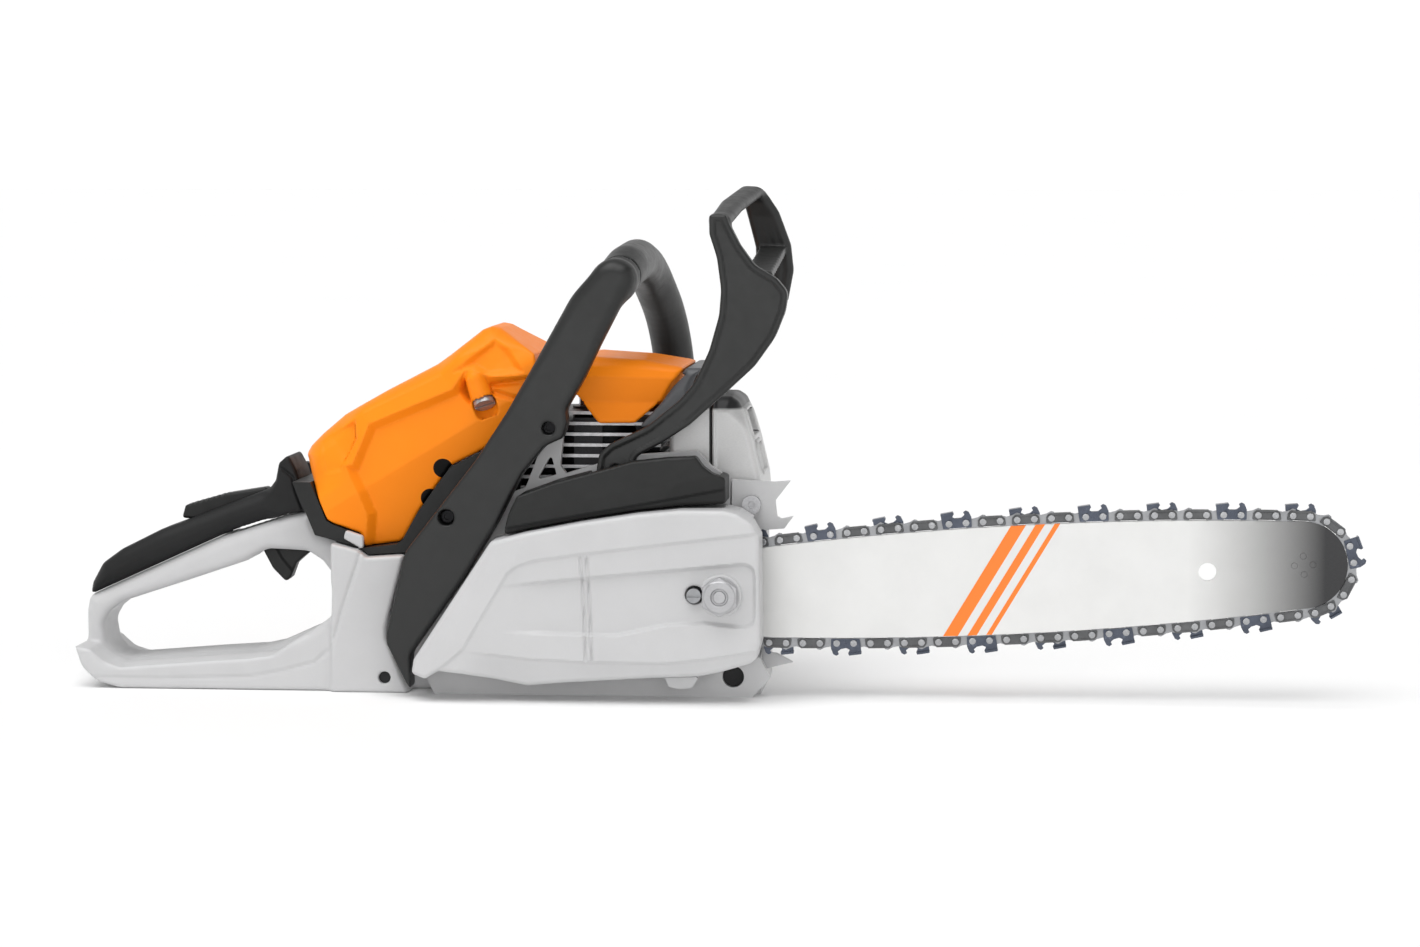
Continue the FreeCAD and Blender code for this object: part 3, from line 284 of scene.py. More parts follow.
class Finish:
    """A procedural material that is built up step by step in object space."""

    def __init__(self, name):
        self.material = bpy.data.materials.new(name)
        self.material.use_nodes = True
        self.tree = self.material.node_tree
        self.shader = self.tree.nodes["Principled BSDF"]
        self.place = self.node("ShaderNodeTexCoord").outputs["Object"]

    def node(self, kind, **settings):
        made = self.tree.nodes.new(kind)
        for key, value in settings.items():
            setattr(made, key, value)
        return made

    def link(self, a, b):
        self.tree.links.new(a, b)

    def put(self, socket, value):
        """Gives a socket a link, a colour or a number."""
        if isinstance(value, bpy.types.NodeSocket):
            self.link(value, socket)
        else:
            socket.default_value = (*value, 1) if isinstance(value, tuple) else value

    def maths(self, operation, *values):
        made = self.node("ShaderNodeMath", operation=operation)
        for socket, value in zip(made.inputs, values):
            self.put(socket, value)
        return made.outputs[0]

    def axes(self):
        """A place's X, Y and Z in the row frame, in metres."""
        split = self.node("ShaderNodeSeparateXYZ")
        self.link(self.place, split.inputs[0])
        return split.outputs

    def noise(self, scale, detail=4.0, roughness=0.55, stretch=(1, 1, 1), distortion=0.0):
        mapping = self.node("ShaderNodeMapping")
        mapping.inputs["Scale"].default_value = stretch
        self.link(self.place, mapping.inputs["Vector"])
        noise = self.node("ShaderNodeTexNoise")
        noise.inputs["Scale"].default_value = scale
        noise.inputs["Detail"].default_value = detail
        noise.inputs["Roughness"].default_value = roughness
        noise.inputs["Distortion"].default_value = distortion
        self.link(mapping.outputs["Vector"], noise.inputs["Vector"])
        return noise.outputs["Fac"]

    def cells(self, scale):
        cells = self.node("ShaderNodeTexVoronoi")
        cells.inputs["Scale"].default_value = scale
        self.link(self.place, cells.inputs["Vector"])
        return cells.outputs["Distance"]

    def ramp(self, value, stops):
        ramp = self.node("ShaderNodeValToRGB")
        elements = ramp.color_ramp.elements
        while len(elements) < len(stops):
            elements.new(0.5)
        for element, (position, colour) in zip(elements, stops):
            element.position = position
            element.color = (*colour, 1)
        self.link(value, ramp.inputs["Fac"])
        return ramp.outputs["Color"]

    def spread(self, value, low, high, start=0.3, end=0.7):
        """A value from low to high as the input goes from start to end."""
        spread = self.node("ShaderNodeMapRange")
        for socket, number in (("From Min", start), ("From Max", end), ("To Min", low), ("To Max", high)):
            spread.inputs[socket].default_value = number
        self.link(value, spread.inputs["Value"])
        return spread.outputs["Result"]

    def mix(self, share, a, b):
        mix = self.node("ShaderNodeMix", data_type="RGBA")
        for number, value in ((0, share), (6, a), (7, b)):
            self.put(mix.inputs[number], value)
        return mix.outputs[2]

    def bump(self, *layers):
        """Each layer is a height and its depth in millimetres."""
        normal = None
        for height, depth in layers:
            bump = self.node("ShaderNodeBump")
            bump.inputs["Distance"].default_value = depth * MM
            self.link(height, bump.inputs["Height"])
            if normal is not None:
                self.link(normal, bump.inputs["Normal"])
            normal = bump.outputs["Normal"]
        self.link(normal, self.shader.inputs["Normal"])

    def set(self, **values):
        names = {"colour": "Base Color", "roughness": "Roughness", "metallic": "Metallic",
                 "specular": "Specular IOR Level"}
        for key, value in values.items():
            self.put(self.shader.inputs[names[key]], value)
        return self.material


def notch_shade_mask(finish, centres, radius):
    """A mask of round spots of painted shade on the right-hand side, each centre given along X and Z in
    millimetres.
    """
    near = finish.spread(finish.axes()["Y"], 1.0, 0.0, ORIGIN.y + 0.020, ORIGIN.y + 0.021)
    flat = finish.node("ShaderNodeVectorMath", operation="MULTIPLY")
    finish.link(finish.place, flat.inputs[0])
    flat.inputs[1].default_value = (1, 0, 1)
    whole = 0.0
    for x, z in centres:
        away = finish.node("ShaderNodeVectorMath", operation="DISTANCE")
        finish.link(flat.outputs[0], away.inputs[0])
        away.inputs[1].default_value = (ORIGIN.x + x * MM, 0, z * MM)
        spot = finish.spread(away.outputs["Value"], 1.0, 0.0, radius, radius + 0.0002)
        whole = finish.maths("MAXIMUM", whole, spot)
    return finish.maths("MULTIPLY", whole, near)


def moulded(name, colour, roughness, grain=0.02, variation=0.05, specular=0.5, notches=()):
    """Moulded plastic: spark-eroded grain, faint flow clouding, and small scuffs that catch the light.

    Notches are the centres of round openings on the right-hand side that are painted black inside as shade.
    """
    finish = Finish(name)
    clouds = finish.noise(28, 5, 0.6)
    tone = finish.ramp(clouds, [(0.3, shade(colour, -variation)), (0.7, shade(colour, variation))])
    dust = finish.noise(900, 3, 0.7)
    tone = finish.mix(finish.spread(dust, 0.0, 0.5, 0.55, 0.8), tone, shade(colour, 2.5 * variation))
    scuffs = finish.noise(60, 8, 0.75, (1, 1, 9), 1.2)
    worn = finish.spread(scuffs, 0.0, 0.5, 0.62, 0.74)
    tone = finish.mix(worn, tone, shade(colour, 1.5 * variation))
    if notches:
        # Black inside the notches is painted shade in the openings.
        tone = finish.mix(notch_shade_mask(finish, notches, 0.0053), tone, (0.002, 0.002, 0.002))
    rough = finish.spread(finish.noise(160, 4, 0.6), roughness - 0.05, roughness + 0.06)
    pits, dots = finish.cells(2600), finish.noise(5200, 2, 0.6)
    finish.bump((pits, grain), (dots, grain * 0.6), (scuffs, grain * 0.8))
    return finish.set(colour=tone, roughness=rough, specular=specular)


def metal(name, colour, roughness, grain=0.01, stretch=(1, 1, 1), variation=0.08, metallic=1.0, scale=400):
    """Bare or plated metal: fine brushed or cast grain, and patches where the roughness changes."""
    finish = Finish(name)
    patches = finish.noise(70, 6, 0.6)
    tone = finish.ramp(patches, [(0.3, shade(colour, -variation)), (0.7, shade(colour, variation))])
    brushed = finish.noise(scale, 5, 0.6, stretch)
    tone = finish.mix(finish.spread(brushed, 0.0, 0.3, 0.45, 0.75), tone, shade(colour, -0.3))
    rough = finish.spread(finish.noise(110, 6, 0.7), roughness - 0.08, roughness + 0.1)
    finish.bump((brushed, grain), (finish.noise(1500, 3, 0.6), grain * 0.6))
    return finish.set(colour=tone, roughness=rough, metallic=metallic)


ORANGE = (1.0, 0.255, 0.007)
ADJUSTERS = ((-79.5, 124.5), (-87.0, 107.5))    # the filter cover's notches, over the carburettor's screws
PALE = (0.535, 0.535, 0.54)
CHARCOAL = (0.012, 0.0124, 0.0122)

FINISHES = {
    "orange_plastic": moulded("orange plastic", ORANGE, 0.42, 0.006, 0.03, 0.15),
    # Its notches are painted black inside as shade.
    "filter_cover": moulded("filter cover plastic", ORANGE, 0.42, 0.006, 0.03, 0.15, ADJUSTERS),
    "light_grey_plastic": moulded("pale plastic", PALE, 0.42, 0.008, 0.03),
    "black_plastic": moulded("black plastic", CHARCOAL, 0.46, 0.012, 0.08, 0.3),
    "handle_black": moulded("handle black", (0.0145, 0.015, 0.0147), 0.42, 0.012, 0.08, 0.4),
    "soft_grip": moulded("soft grip", (0.011, 0.0112, 0.0115), 0.5, 0.03, 0.12, 0.25),
    "rubber": moulded("rubber", (0.02, 0.02, 0.021), 0.7, 0.05, 0.2, 0.3),
    "grey_trim": moulded("grey trim", (0.085, 0.088, 0.095), 0.4, 0.01, 0.1),
    "rope": moulded("rope", (0.7, 0.68, 0.6), 0.8, 0.2, 0.2),
    "filter_felt": moulded("filter felt", (0.75, 0.73, 0.68), 0.9, 0.15, 0.1),
    "cast_aluminium": metal("cast aluminium", (0.56, 0.565, 0.58), 0.42, 0.04, scale=900),
    "zinc": metal("zinc plate", (0.42, 0.42, 0.43), 0.35, 0.006, (1, 1, 6), metallic=0.6),
    "bare_steel": metal("bare steel", (0.55, 0.56, 0.58), 0.28, 0.01, (1, 14, 1)),
    "chain_straps": metal("chain straps", (0.115, 0.117, 0.12), 0.4, 0.02, variation=0.2),
    "chain_links": metal("chain drive links", (0.3, 0.305, 0.315), 0.35, 0.02, variation=0.15),
    "chain_cutters": metal("chain cutters", (0.085, 0.095, 0.12), 0.3, 0.02, variation=0.2),
    "chain_rivets": metal("chain rivets", (0.36, 0.365, 0.375), 0.25, 0.01),
}


def fin_casting_with_painted_gap_shade():
    """Cylinder casting coloured near black as painted shade in the gaps between its fins, whose fins are
    ground bright on their outer edges.
    """
    finish = Finish("finned cylinder casting")
    axes = finish.axes()
    near, far = ORIGIN.y + 23.8 * MM, ORIGIN.y + 82.2 * MM
    rough_skin = finish.noise(900, 5, 0.65)
    # The near-black tone is painted shade for the gaps between the fins.
    dark = finish.ramp(rough_skin, [(0.3, (0.012, 0.012, 0.013)), (0.7, (0.03, 0.03, 0.032))])
    ground = finish.noise(300, 4, 0.6, (1, 12, 1))
    bright = finish.ramp(ground, [(0.3, (0.5, 0.5, 0.51)), (0.7, (0.68, 0.68, 0.69))])
    right = finish.spread(axes["Y"], 1.0, 0.0, near, near + 0.0006)
    left = finish.spread(axes["Y"], 0.0, 1.0, far - 0.0006, far)
    tone = finish.mix(left, finish.mix(right, dark, bright), bright)
    finish.bump((rough_skin, 0.05))
    return finish.set(colour=tone, roughness=finish.spread(rough_skin, 0.32, 0.5), metallic=0.75)


def muffler_steel():
    """Brushed steel, browned a little by heat, with a near-black painted reflection over its rounded top, a
    darker grey front face, and painted shade inside the exhaust opening.
    """
    finish = Finish("muffler steel")
    axes = finish.axes()
    brushed = finish.noise(700, 5, 0.6, (1, 1, 8))
    clouds = finish.noise(45, 5, 0.6)
    steel = finish.ramp(clouds, [(0.3, (0.58, 0.58, 0.58)), (0.7, (0.64, 0.64, 0.635))])
    steel = finish.mix(finish.spread(brushed, 0.0, 0.25, 0.4, 0.75), steel, (0.3, 0.3, 0.3))
    front = finish.spread(axes["X"], 0.0, 1.0, ORIGIN.x + 0.0985, ORIGIN.x + 0.0993)
    # Above Z 157 mm the rounded top is painted near black: a painted reflection of dark surroundings.
    top = finish.spread(axes["Z"], 0.0, 1.0, 0.1570, 0.1585)
    tone = finish.mix(top, finish.mix(front, steel, (0.24, 0.24, 0.24)), (0.018, 0.018, 0.019))
    seam = finish.maths("COMPARE", axes["X"], ORIGIN.x + 0.0693, 0.0008)
    # The inside of the exhaust opening is painted near black: painted shade.
    across = finish.maths("COMPARE", axes["Y"], ORIGIN.y + 0.048, 0.0172)
    level = finish.maths("COMPARE", axes["Z"], 0.149, 0.0066)
    painted_outlet_shade = finish.maths("MULTIPLY", across, level)
    tone = finish.mix(seam, tone, (0.004, 0.004, 0.004))
    tone = finish.mix(painted_outlet_shade, tone, (0.006, 0.006, 0.006))
    finish.bump((brushed, 0.012), (clouds, 0.05))
    return finish.set(colour=tone, roughness=finish.spread(clouds, 0.36, 0.5), metallic=0.35)


def stripes(finish, axes, spans):
    """A mask of slanted stripes across the bar; each span is a start along X and a width, in metres."""
    slanted = finish.maths("MULTIPLY_ADD", axes["Z"], -0.6, axes["X"])
    whole = 0.0
    for start, width in spans:
        stripe = finish.maths("COMPARE", slanted, start + width / 2, width / 2)
        whole = finish.maths("MAXIMUM", whole, stripe)
    return whole


def bar_paint():
    """White satin lacquer that runs out to dark ground steel at the nose, with slanted orange stripes."""
    finish = Finish("guide bar lacquer")
    axes = finish.axes()
    x = axes["X"]
    brushed = finish.noise(500, 5, 0.6, (1, 1, 12))
    clouds = finish.noise(40, 5, 0.6)
    white = finish.ramp(clouds, [(0.3, (0.70, 0.70, 0.69)), (0.7, (0.74, 0.74, 0.73))])
    steel = finish.ramp(brushed, [(0.3, (0.008, 0.008, 0.009)), (0.7, (0.022, 0.022, 0.024))])
    fade = finish.spread(x, 0.0, 1.0, 0.262, 0.336)
    fade = finish.ramp(fade, [(0.0, (0, 0, 0)), (0.45, (0.42, 0.42, 0.42)), (1.0, (1, 1, 1))])
    slashes = stripes(finish, axes, ((0.108, 0.008), (0.121, 0.005), (0.131, 0.003)))
    tone = finish.mix(slashes, white, (0.9, 0.2, 0.01))
    tone = finish.mix(fade, tone, steel)
    finish.bump((brushed, 0.006), (finish.noise(1400, 3, 0.6), 0.006))
    return finish.set(colour=tone, roughness=finish.spread(clouds, 0.3, 0.42), metallic=0.0)


def screw_metal():
    """Black oxide in the handle's deep holes, zinc on the spike's screw further forward."""
    finish = Finish("housing screws")
    axes = finish.axes()
    worn = finish.noise(900, 4, 0.6)
    forward = finish.spread(axes["X"], 0.0, 1.0, ORIGIN.x + 0.05, ORIGIN.x + 0.06)
    black = finish.ramp(worn, [(0.3, (0.006, 0.006, 0.007)), (0.7, (0.012, 0.012, 0.013))])
    zinc = finish.ramp(worn, [(0.3, (0.34, 0.34, 0.35)), (0.7, (0.46, 0.46, 0.47))])
    finish.bump((worn, 0.01))
    tone = finish.mix(forward, black, zinc)
    return finish.set(colour=tone, roughness=finish.spread(worn, 0.3, 0.45), metallic=0.8)


FINISHES["guide_bar"] = bar_paint()
FINISHES["housing_screws"] = screw_metal()
FINISHES["cylinder"] = fin_casting_with_painted_gap_shade()
FINISHES["muffler"] = muffler_steel()

NODES_BY_FINISH = {
    "guide_bar": ("guide_bar", "nose_bearing"),
    "chain_links": ("chain_drive_links", "tension_screw"),
    "chain_straps": ("chain_tie_straps",),
    "chain_cutters": ("chain_cutters",),
    "chain_rivets": ("chain_rivets",),
    "bare_steel": (
        "nose_sprocket", "inner_side_plate", "bar_stud", "crankshaft", "crank_bearings",
        "connecting_rod_lower", "connecting_rod_upper", "piston_pin", "clutch_drum", "clutch_shoes",
        "clutch_hub", "drum_retainer", "brake_band", "spark_plug", "recoil_spring", "throttle_shaft",
        "tension_slider",
    ),
    "light_grey_plastic": (
        "engine_housing", "starter_cover", "rear_handle_housing", "sprocket_cover", "bumper_spike",
        "chain_catcher",
    ),
    "cast_aluminium": ("piston", "flywheel", "carburetor"),
    "cylinder": ("cylinder",),
    "rubber": ("ignition_lead", "intake_boot", "vibration_buffers"),
    "black_plastic": (
        "ignition_module", "starter_pulley", "starter_grip", "throttle_trigger", "throttle_lockout",
        "fuel_cap", "oil_cap", "filter_base", "brake_cover", "master_control_lever",
    ),
    "muffler": ("muffler_rear_shell", "muffler_front_shell"),
    "rope": ("starter_rope",),
    "soft_grip": ("rear_grip",),
    "filter_felt": ("air_filter",),
    "filter_cover": ("filter_cover",),
    "zinc": ("filter_cover_lock", "bar_nut"),
    "orange_plastic": ("front_shroud",),
    "grey_trim": ("shroud_trim",),
    "handle_black": ("front_handle", "hand_guard"),
    "housing_screws": ("housing_screws",),
}

for finish_name, nodes in NODES_BY_FINISH.items():
    for name in nodes:
        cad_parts[name].data.materials.clear()
        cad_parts[name].data.materials.append(FINISHES[finish_name])

# ---------- shapes shared by several pieces
WALL = 2.6
GRIP_Y = 45.0               # middle plane of the rear handle
GUARD_PIVOT = (20, 126)     # the hand guard tilts about a line across the saw through this X and Z
NOTCH_RADIUS = 5.0


def bent_path(points, bend, steps=7):
    """The points of a line whose corners are rounded to a radius of bend, or as far as its runs allow."""
    path = [np.array(p, float) for p in points]
    result = [path[0]]
    for before, corner, after in zip(path, path[1:], path[2:]):
        result += arc(before, corner, after, bend, 0.48, steps)[0]
    return result + [path[-1]]


# ---------- orange covers
FILTER_COVER = [
    (-159, 131), (-156.5, 135.5), (-149.5, 142.5), (-137, 153), (-112, 167.2), (-84.5, 181.5),
    (-74.5, 188.5), (-59, 201), (-54, 203), (-49, 202), (-27.5, 188.5), (-24, 170), (-40, 146),
    (-59, 134), (-75, 126), (-82.5, 116), (-93.5, 100.5), (-102, 85.2), (-105, 82.8), (-124, 80.3),
    (-126, 88), (-141, 93.7), (-144, 95.5),
]
COVER_RIGHT, COVER_LEFT = 3, 97         # its side faces, along Y
LOCK_FACE = np.array((-55.5, 8.0, 159.7))
LOCK_AXIS = np.array((-0.30, 0.47, 0.83)) / math.sqrt(0.30 ** 2 + 0.47 ** 2 + 0.83 ** 2)


def filter_cover():
    block = Volume((-162, 1, 78), (-22, 99, 205), 1.0)
    flat = block.outline(FILTER_COVER, 2.0)
    waist = [(-118.2, 113), (-61.9, 150.8), (-42.6, 162.4)]     # the side leans in above and below it
    above = np.minimum(block.beyond(waist[0], waist[1]), block.beyond(waist[1], waist[2]))
    lean = 0.10 * np.maximum(above, 0) + 0.20 * np.clip(-above - 1, 0, 40)
    crest = block.outline([
        (-120.3, 149.2), (-73.4, 168.8), (-66, 180), (-50, 176), (-10, 176), (-10, 60), (-128, 68),
        (-122.8, 84), (-121.5, 98.5), (-126, 110), (-134.0, 125.8), (-129.6, 126.6),
    ])
    panel_depth = 4.2 * np.clip(-crest / 4.3, 0, 1)
    band_lean = 0.30 * np.clip(crest, 0, 40) * smooth_step((above - 6) / 14)
    facet = block.outline([
        (-149.5, 138.5), (-128.5, 151.7), (-127.1, 140.5), (-135.6, 122.6), (-146.3, 120),
    ])
    rise = np.clip(block.z - 120, 0, 30)
    inward = np.clip(block.x + 149, 0, 22)
    facet_depth = (0.4 + 0.02 * rise + 0.12 * inward) * np.clip(-facet / 2.0, 0, 1)
    peak = block.outline([
        (-50.4, 196.9), (-75.6, 176.7), (-61.7, 179.8), (-54.1, 175.6), (-32.5, 178.2), (-42.4, 191.4),
    ])
    peak_depth = 3.0 * np.clip(-peak / 3.2, 0, 1)
    creases = (2.2 * np.maximum(0, 1 - block.line([(-51.2, 170.9), (-24, 176.0)]) / 2.4)
               + 2.2 * np.maximum(0, 1 - block.line([(-50.3, 167.1), (-30, 161.0)]) / 2.4))
    relief = lean + panel_depth + band_lean + facet_depth + peak_depth + creases
    edge = 1.6 + 12.0 * smooth_step((crest - 1) / 16) * smooth_step((above - 14) / 22)
    block.add(block.slab(flat, COVER_RIGHT + relief, COVER_LEFT - relief, edge))
    dish = block.outline(soft_corners([
        (-71, 166.5), (-68.5, 176.5), (-60.5, 178.5), (-50.5, 170.5), (-48.8, 157.5), (-54, 153.2),
        (-60, 154.5),
    ], 6))
    inner_face = COVER_RIGHT + relief + WALL + 10.0 * smooth_step((3 - dish) / 4)
    block.cut(block.slab(flat + WALL + 0.6, inner_face, COVER_LEFT - relief - WALL, edge))
    mouth = block.outline([
        (-190, 40), (-160, 101), (-140, 101), (-126, 95), (-121.5, 87), (-106, 87), (-97, 103), (-86, 119),
        (-78, 129.5), (-61, 138), (-42, 150), (-20, 172), (-20, 60),
    ])
    block.cut(block.slab(mouth, COVER_RIGHT + relief + WALL, COVER_LEFT - relief - WALL))
    block.cut(block.block(-60, -10, 18, 92, 120, 176))
    block.cut(block.slab(dish + 0.5, -4, COVER_RIGHT + relief + 6.0 * smooth_step(-dish / 4.5), 0.3), 1.0)
    block.add_tube([LOCK_FACE + LOCK_AXIS * 3, LOCK_FACE + np.array((-5.4, 0.6, 14.5))], [6.9, 5.6], 1.6)
    away = [block.x - LOCK_FACE[0], block.y - LOCK_FACE[1], block.z - LOCK_FACE[2]]
    along = sum(a * n for a, n in zip(away, LOCK_AXIS))
    across = np.sqrt(np.maximum(sum(a * a for a in away) - along ** 2, 0))
    block.cut(np.maximum(across - 5.95, np.maximum(-6 - along, along - 14)), 0.3)
    block.cut(np.maximum(across - 6.6, np.maximum(-5 - along, along - 2.6)), 0.6)
    for x, z in ADJUSTERS:
        block.cut(np.maximum(np.hypot(block.x - x, block.z - z) - NOTCH_RADIUS, block.y - 5.4 - lean), 0.5)
    block.piece("orange_filter_cover", "top_cover", "filter_cover", "orange_plastic", "filter_cover")


FRONT_SHROUD = [
    (-20, 178), (-8, 186), (2, 187), (32, 185), (56, 181), (48, 172.5), (43, 163), (28, 150.5), (8, 150.2),
    (-5, 166), (-14, 166),
]
SHROUD_TRIM = [(56.5, 181), (66, 181), (58, 163), (40, 148), (30, 148), (43.5, 162.7), (48.5, 172.3)]


def front_shroud():
    block = Volume((-22, 4, 148), (58, 98, 189), 1.0)
    flat = block.outline(FRONT_SHROUD, 2.0)
    upper = block.beyond((-12, 176.5), (46, 175.5))
    edge = 1.6 + 7.0 * smooth_step((upper + 2) / 14)
    lower = block.beyond((-10, 162), (46, 162))
    relief = 0.30 * np.maximum(upper, 0) + 0.19 * np.clip(-upper, 0, 14) - 0.22 * np.clip(-lower, 0, 12)
    block.add(block.slab(flat, 6 + relief, 96 - relief, edge))
    block.cut(block.slab(flat + 2.2, 8.2 + relief, 93.8 - relief, edge))
    block.cut(block.block(-16, 41, 10, 92, 140, 168))
    block.cut(block.block(-30, 34, 12, 90, 140, 181))
    block.piece("orange_front_shroud", "saw", "front_shroud", "orange_plastic")


def shroud_trim():
    block = Volume((28, 4, 146), (68, 98, 183), 1.0)
    flat = block.outline(SHROUD_TRIM, 1.5)
    block.add(block.slab(flat, 6, 96, 1.5 + 5.0 * smooth_step((block.z - 160) / 14)))
    block.cut(block.block(20, 80, 9, 94.2, 140, 177.5))
    block.piece("shroud_front_trim", "saw", "shroud_trim", "black_plastic", "grey_trim")


# ---------- sprocket cover and brake cover
SPROCKET_COVER = [
    (-46.5, 88.5), (-27.5, 93.5), (3, 99.5), (34.5, 104.5), (57.5, 106.8), (80.5, 106.8), (88, 105),
    (96, 100), (100.3, 92.5), (101, 34.5), (98.8, 26), (95.5, 23), (79, 18), (67, 15.4), (40, 14.3),
    (-10, 10.8), (-27, 9), (-62, 15.8), (-76, 17), (-83, 12.6), (-91, 15.2), (-89.8, 23),
]
COVER_Y = -40.0
TENSION = (65.0, 60.5)


def sprocket_cover():
    block = Volume((-93, -42, 7), (103, 4, 109), 0.85)
    flat = block.outline(SPROCKET_COVER, 2.5)
    upper_line = [(-37.3, 71.8), (-31.5, 76.1), (-22.9, 79.1), (2.8, 82.9), (45.5, 88.3), (104, 95.6)]
    below_upper = block.outline(upper_line + [(110, -20), (-120, -20), (-62, 30)])
    upper_step = 1.3 * np.clip(-below_upper / 1.3, 0, 1)
    panel = block.outline(soft_corners([
        (-60, 62.8), (7, 70.1), (52.6, 74.5), (98.7, 79), (98.7, 41.6), (69.6, 44.8), (49.7, 43.4),
        (22.6, 37.4), (-60, 38.8),
    ], [1, 40, 40, 8, 8, 20, 20, 20, 1]))
    panel_fade = smooth_step((block.x + 46) / 34)
    panel_depth = 2.4 * np.clip(-panel / 1.6, 0, 1) * panel_fade
    lower_line = [(-140, 37.2), (-59, 28.6), (-26, 25.1), (8.3, 23.7), (49.7, 23.5), (73.9, 26.3),
                  (104, 31.8)]
    low = -block.outline(lower_line + [(104, -40), (-140, -40)])
    low_fade = smooth_step((block.x + 64) / 22)
    lower_depth = (1.4 * np.clip(low / 1.2, 0, 1) + 0.32 * np.maximum(low - 1.2, 0)) * low_fade
    slant = block.beyond((-33, 79), (-60, 28))
    slant_depth = 0.2 * np.maximum(-slant, 0) + 0.14 * np.maximum(-slant - 12, 0)
    seams = sum(1.3 * np.maximum(0, 1 - block.line([(top, 80.5), (top + 2.7, 24.2)])) for top in (3.3, 6.5))
    relief = upper_step + panel_depth + lower_depth + slant_depth + seams
    relief = relief + 0.02 * np.maximum(block.z - 86, 0)
    edge = 2.6
    face = COVER_Y + relief
    block.add(block.slab(flat, face, 2.0, edge))
    block.cut(block.slab(flat + WALL, face + WALL, 12, edge))
    block.cut(block.block(90, 110, -12, 10, 20, 96))
    block.cut(block.block(-20, 110, -12, 10, 96, 100))
    block.add(block.round_y(*STUD, 11.5, COVER_Y + 0.6, -30, 1.0), 1.0)
    block.add(block.round_y(*STUD, 9.0, -34, -2.2))
    block.cut(block.round_y(*STUD, 4.6, -50, 4))
    block.cut(block.round_y(*TENSION, 5.0, -50, -30), 0.8)
    block.piece("pale_sprocket_cover", "side_cover", "sprocket_cover", "light_grey_plastic")


BRAKE_COVER = [
    (-40.5, 91.2), (-37.5, 103), (-33, 112.6), (-13, 120), (12.5, 127), (20, 129), (30, 132), (50.5, 134.3),
    (65, 135), (69, 129.5), (74, 125.7), (81, 123.3), (81, 109), (57.5, 108.3), (34.5, 105.8), (3, 100.8),
    (-27.5, 94.7),
]


def brake_cover():
    block = Volume((-43, -32, 89), (83, 4, 137), 0.9)
    flat = block.outline(BRAKE_COVER, 2.0)
    top = block.beyond((-36, 104), (60, 122))
    front = -block.beyond((44, 104), (66, 140))
    lip = 1.2 * np.clip(-block.beyond((-42, 94.5), (34.5, 108.6)) + 0.5, 0, 1)
    relief = 0.12 * np.maximum(top, 0) + 0.16 * np.clip(front, 0, 40) + lip
    edge = 1.6
    block.add(block.slab(flat, -30 + relief, 3.0, edge))
    block.cut(block.slab(flat + WALL, -27.4 + relief, 10, edge))
    block.cut(block.block(5, 77, -18, 10, 118, 140), 0.8)
    block.add(block.round_y(*GUARD_PIVOT, 2.95, -19, 2.8))
    block.piece("black_brake_cover", "saw", "brake_cover", "black_plastic")


# ---------- rear handle
REAR_HOUSING = [
    (-286.5, 48.5), (-288, 40), (-288, 24), (-284, 12), (-276, 4), (-262, 0), (-98, 0), (-110, 30),
    (-110, 37), (-99.5, 77), (-121, 75.5), (-126, 79.5), (-140, 83), (-151.5, 86), (-157, 99), (-171, 96),
    (-209, 83.7), (-256, 62.3),
]
HAND_HOLE = [
    (-278, 33), (-274, 40), (-267, 45.5), (-229, 58), (-195, 69.5), (-189, 73.5), (-182.5, 76.5),
    (-160, 75.5), (-151.5, 70), (-142.5, 58), (-144, 45.5), (-147.5, 38), (-155, 32), (-178.5, 21.5),
    (-189.5, 19), (-214, 17.5), (-262.5, 13.5), (-270.5, 15), (-276, 21),
]
REAR_GRIP = [
    (-286.3, 48.9), (-285, 56), (-279, 67), (-268, 75), (-245, 86.5), (-234, 90.5), (-182, 110.5),
    (-178, 115.5), (-176, 125), (-170.5, 130), (-166, 121.5), (-162.5, 110), (-159.5, 98.8), (-171, 96.3),
    (-209, 84), (-256, 62.6),
]
TRIGGER_PIVOT = (-160.0, 86.0)


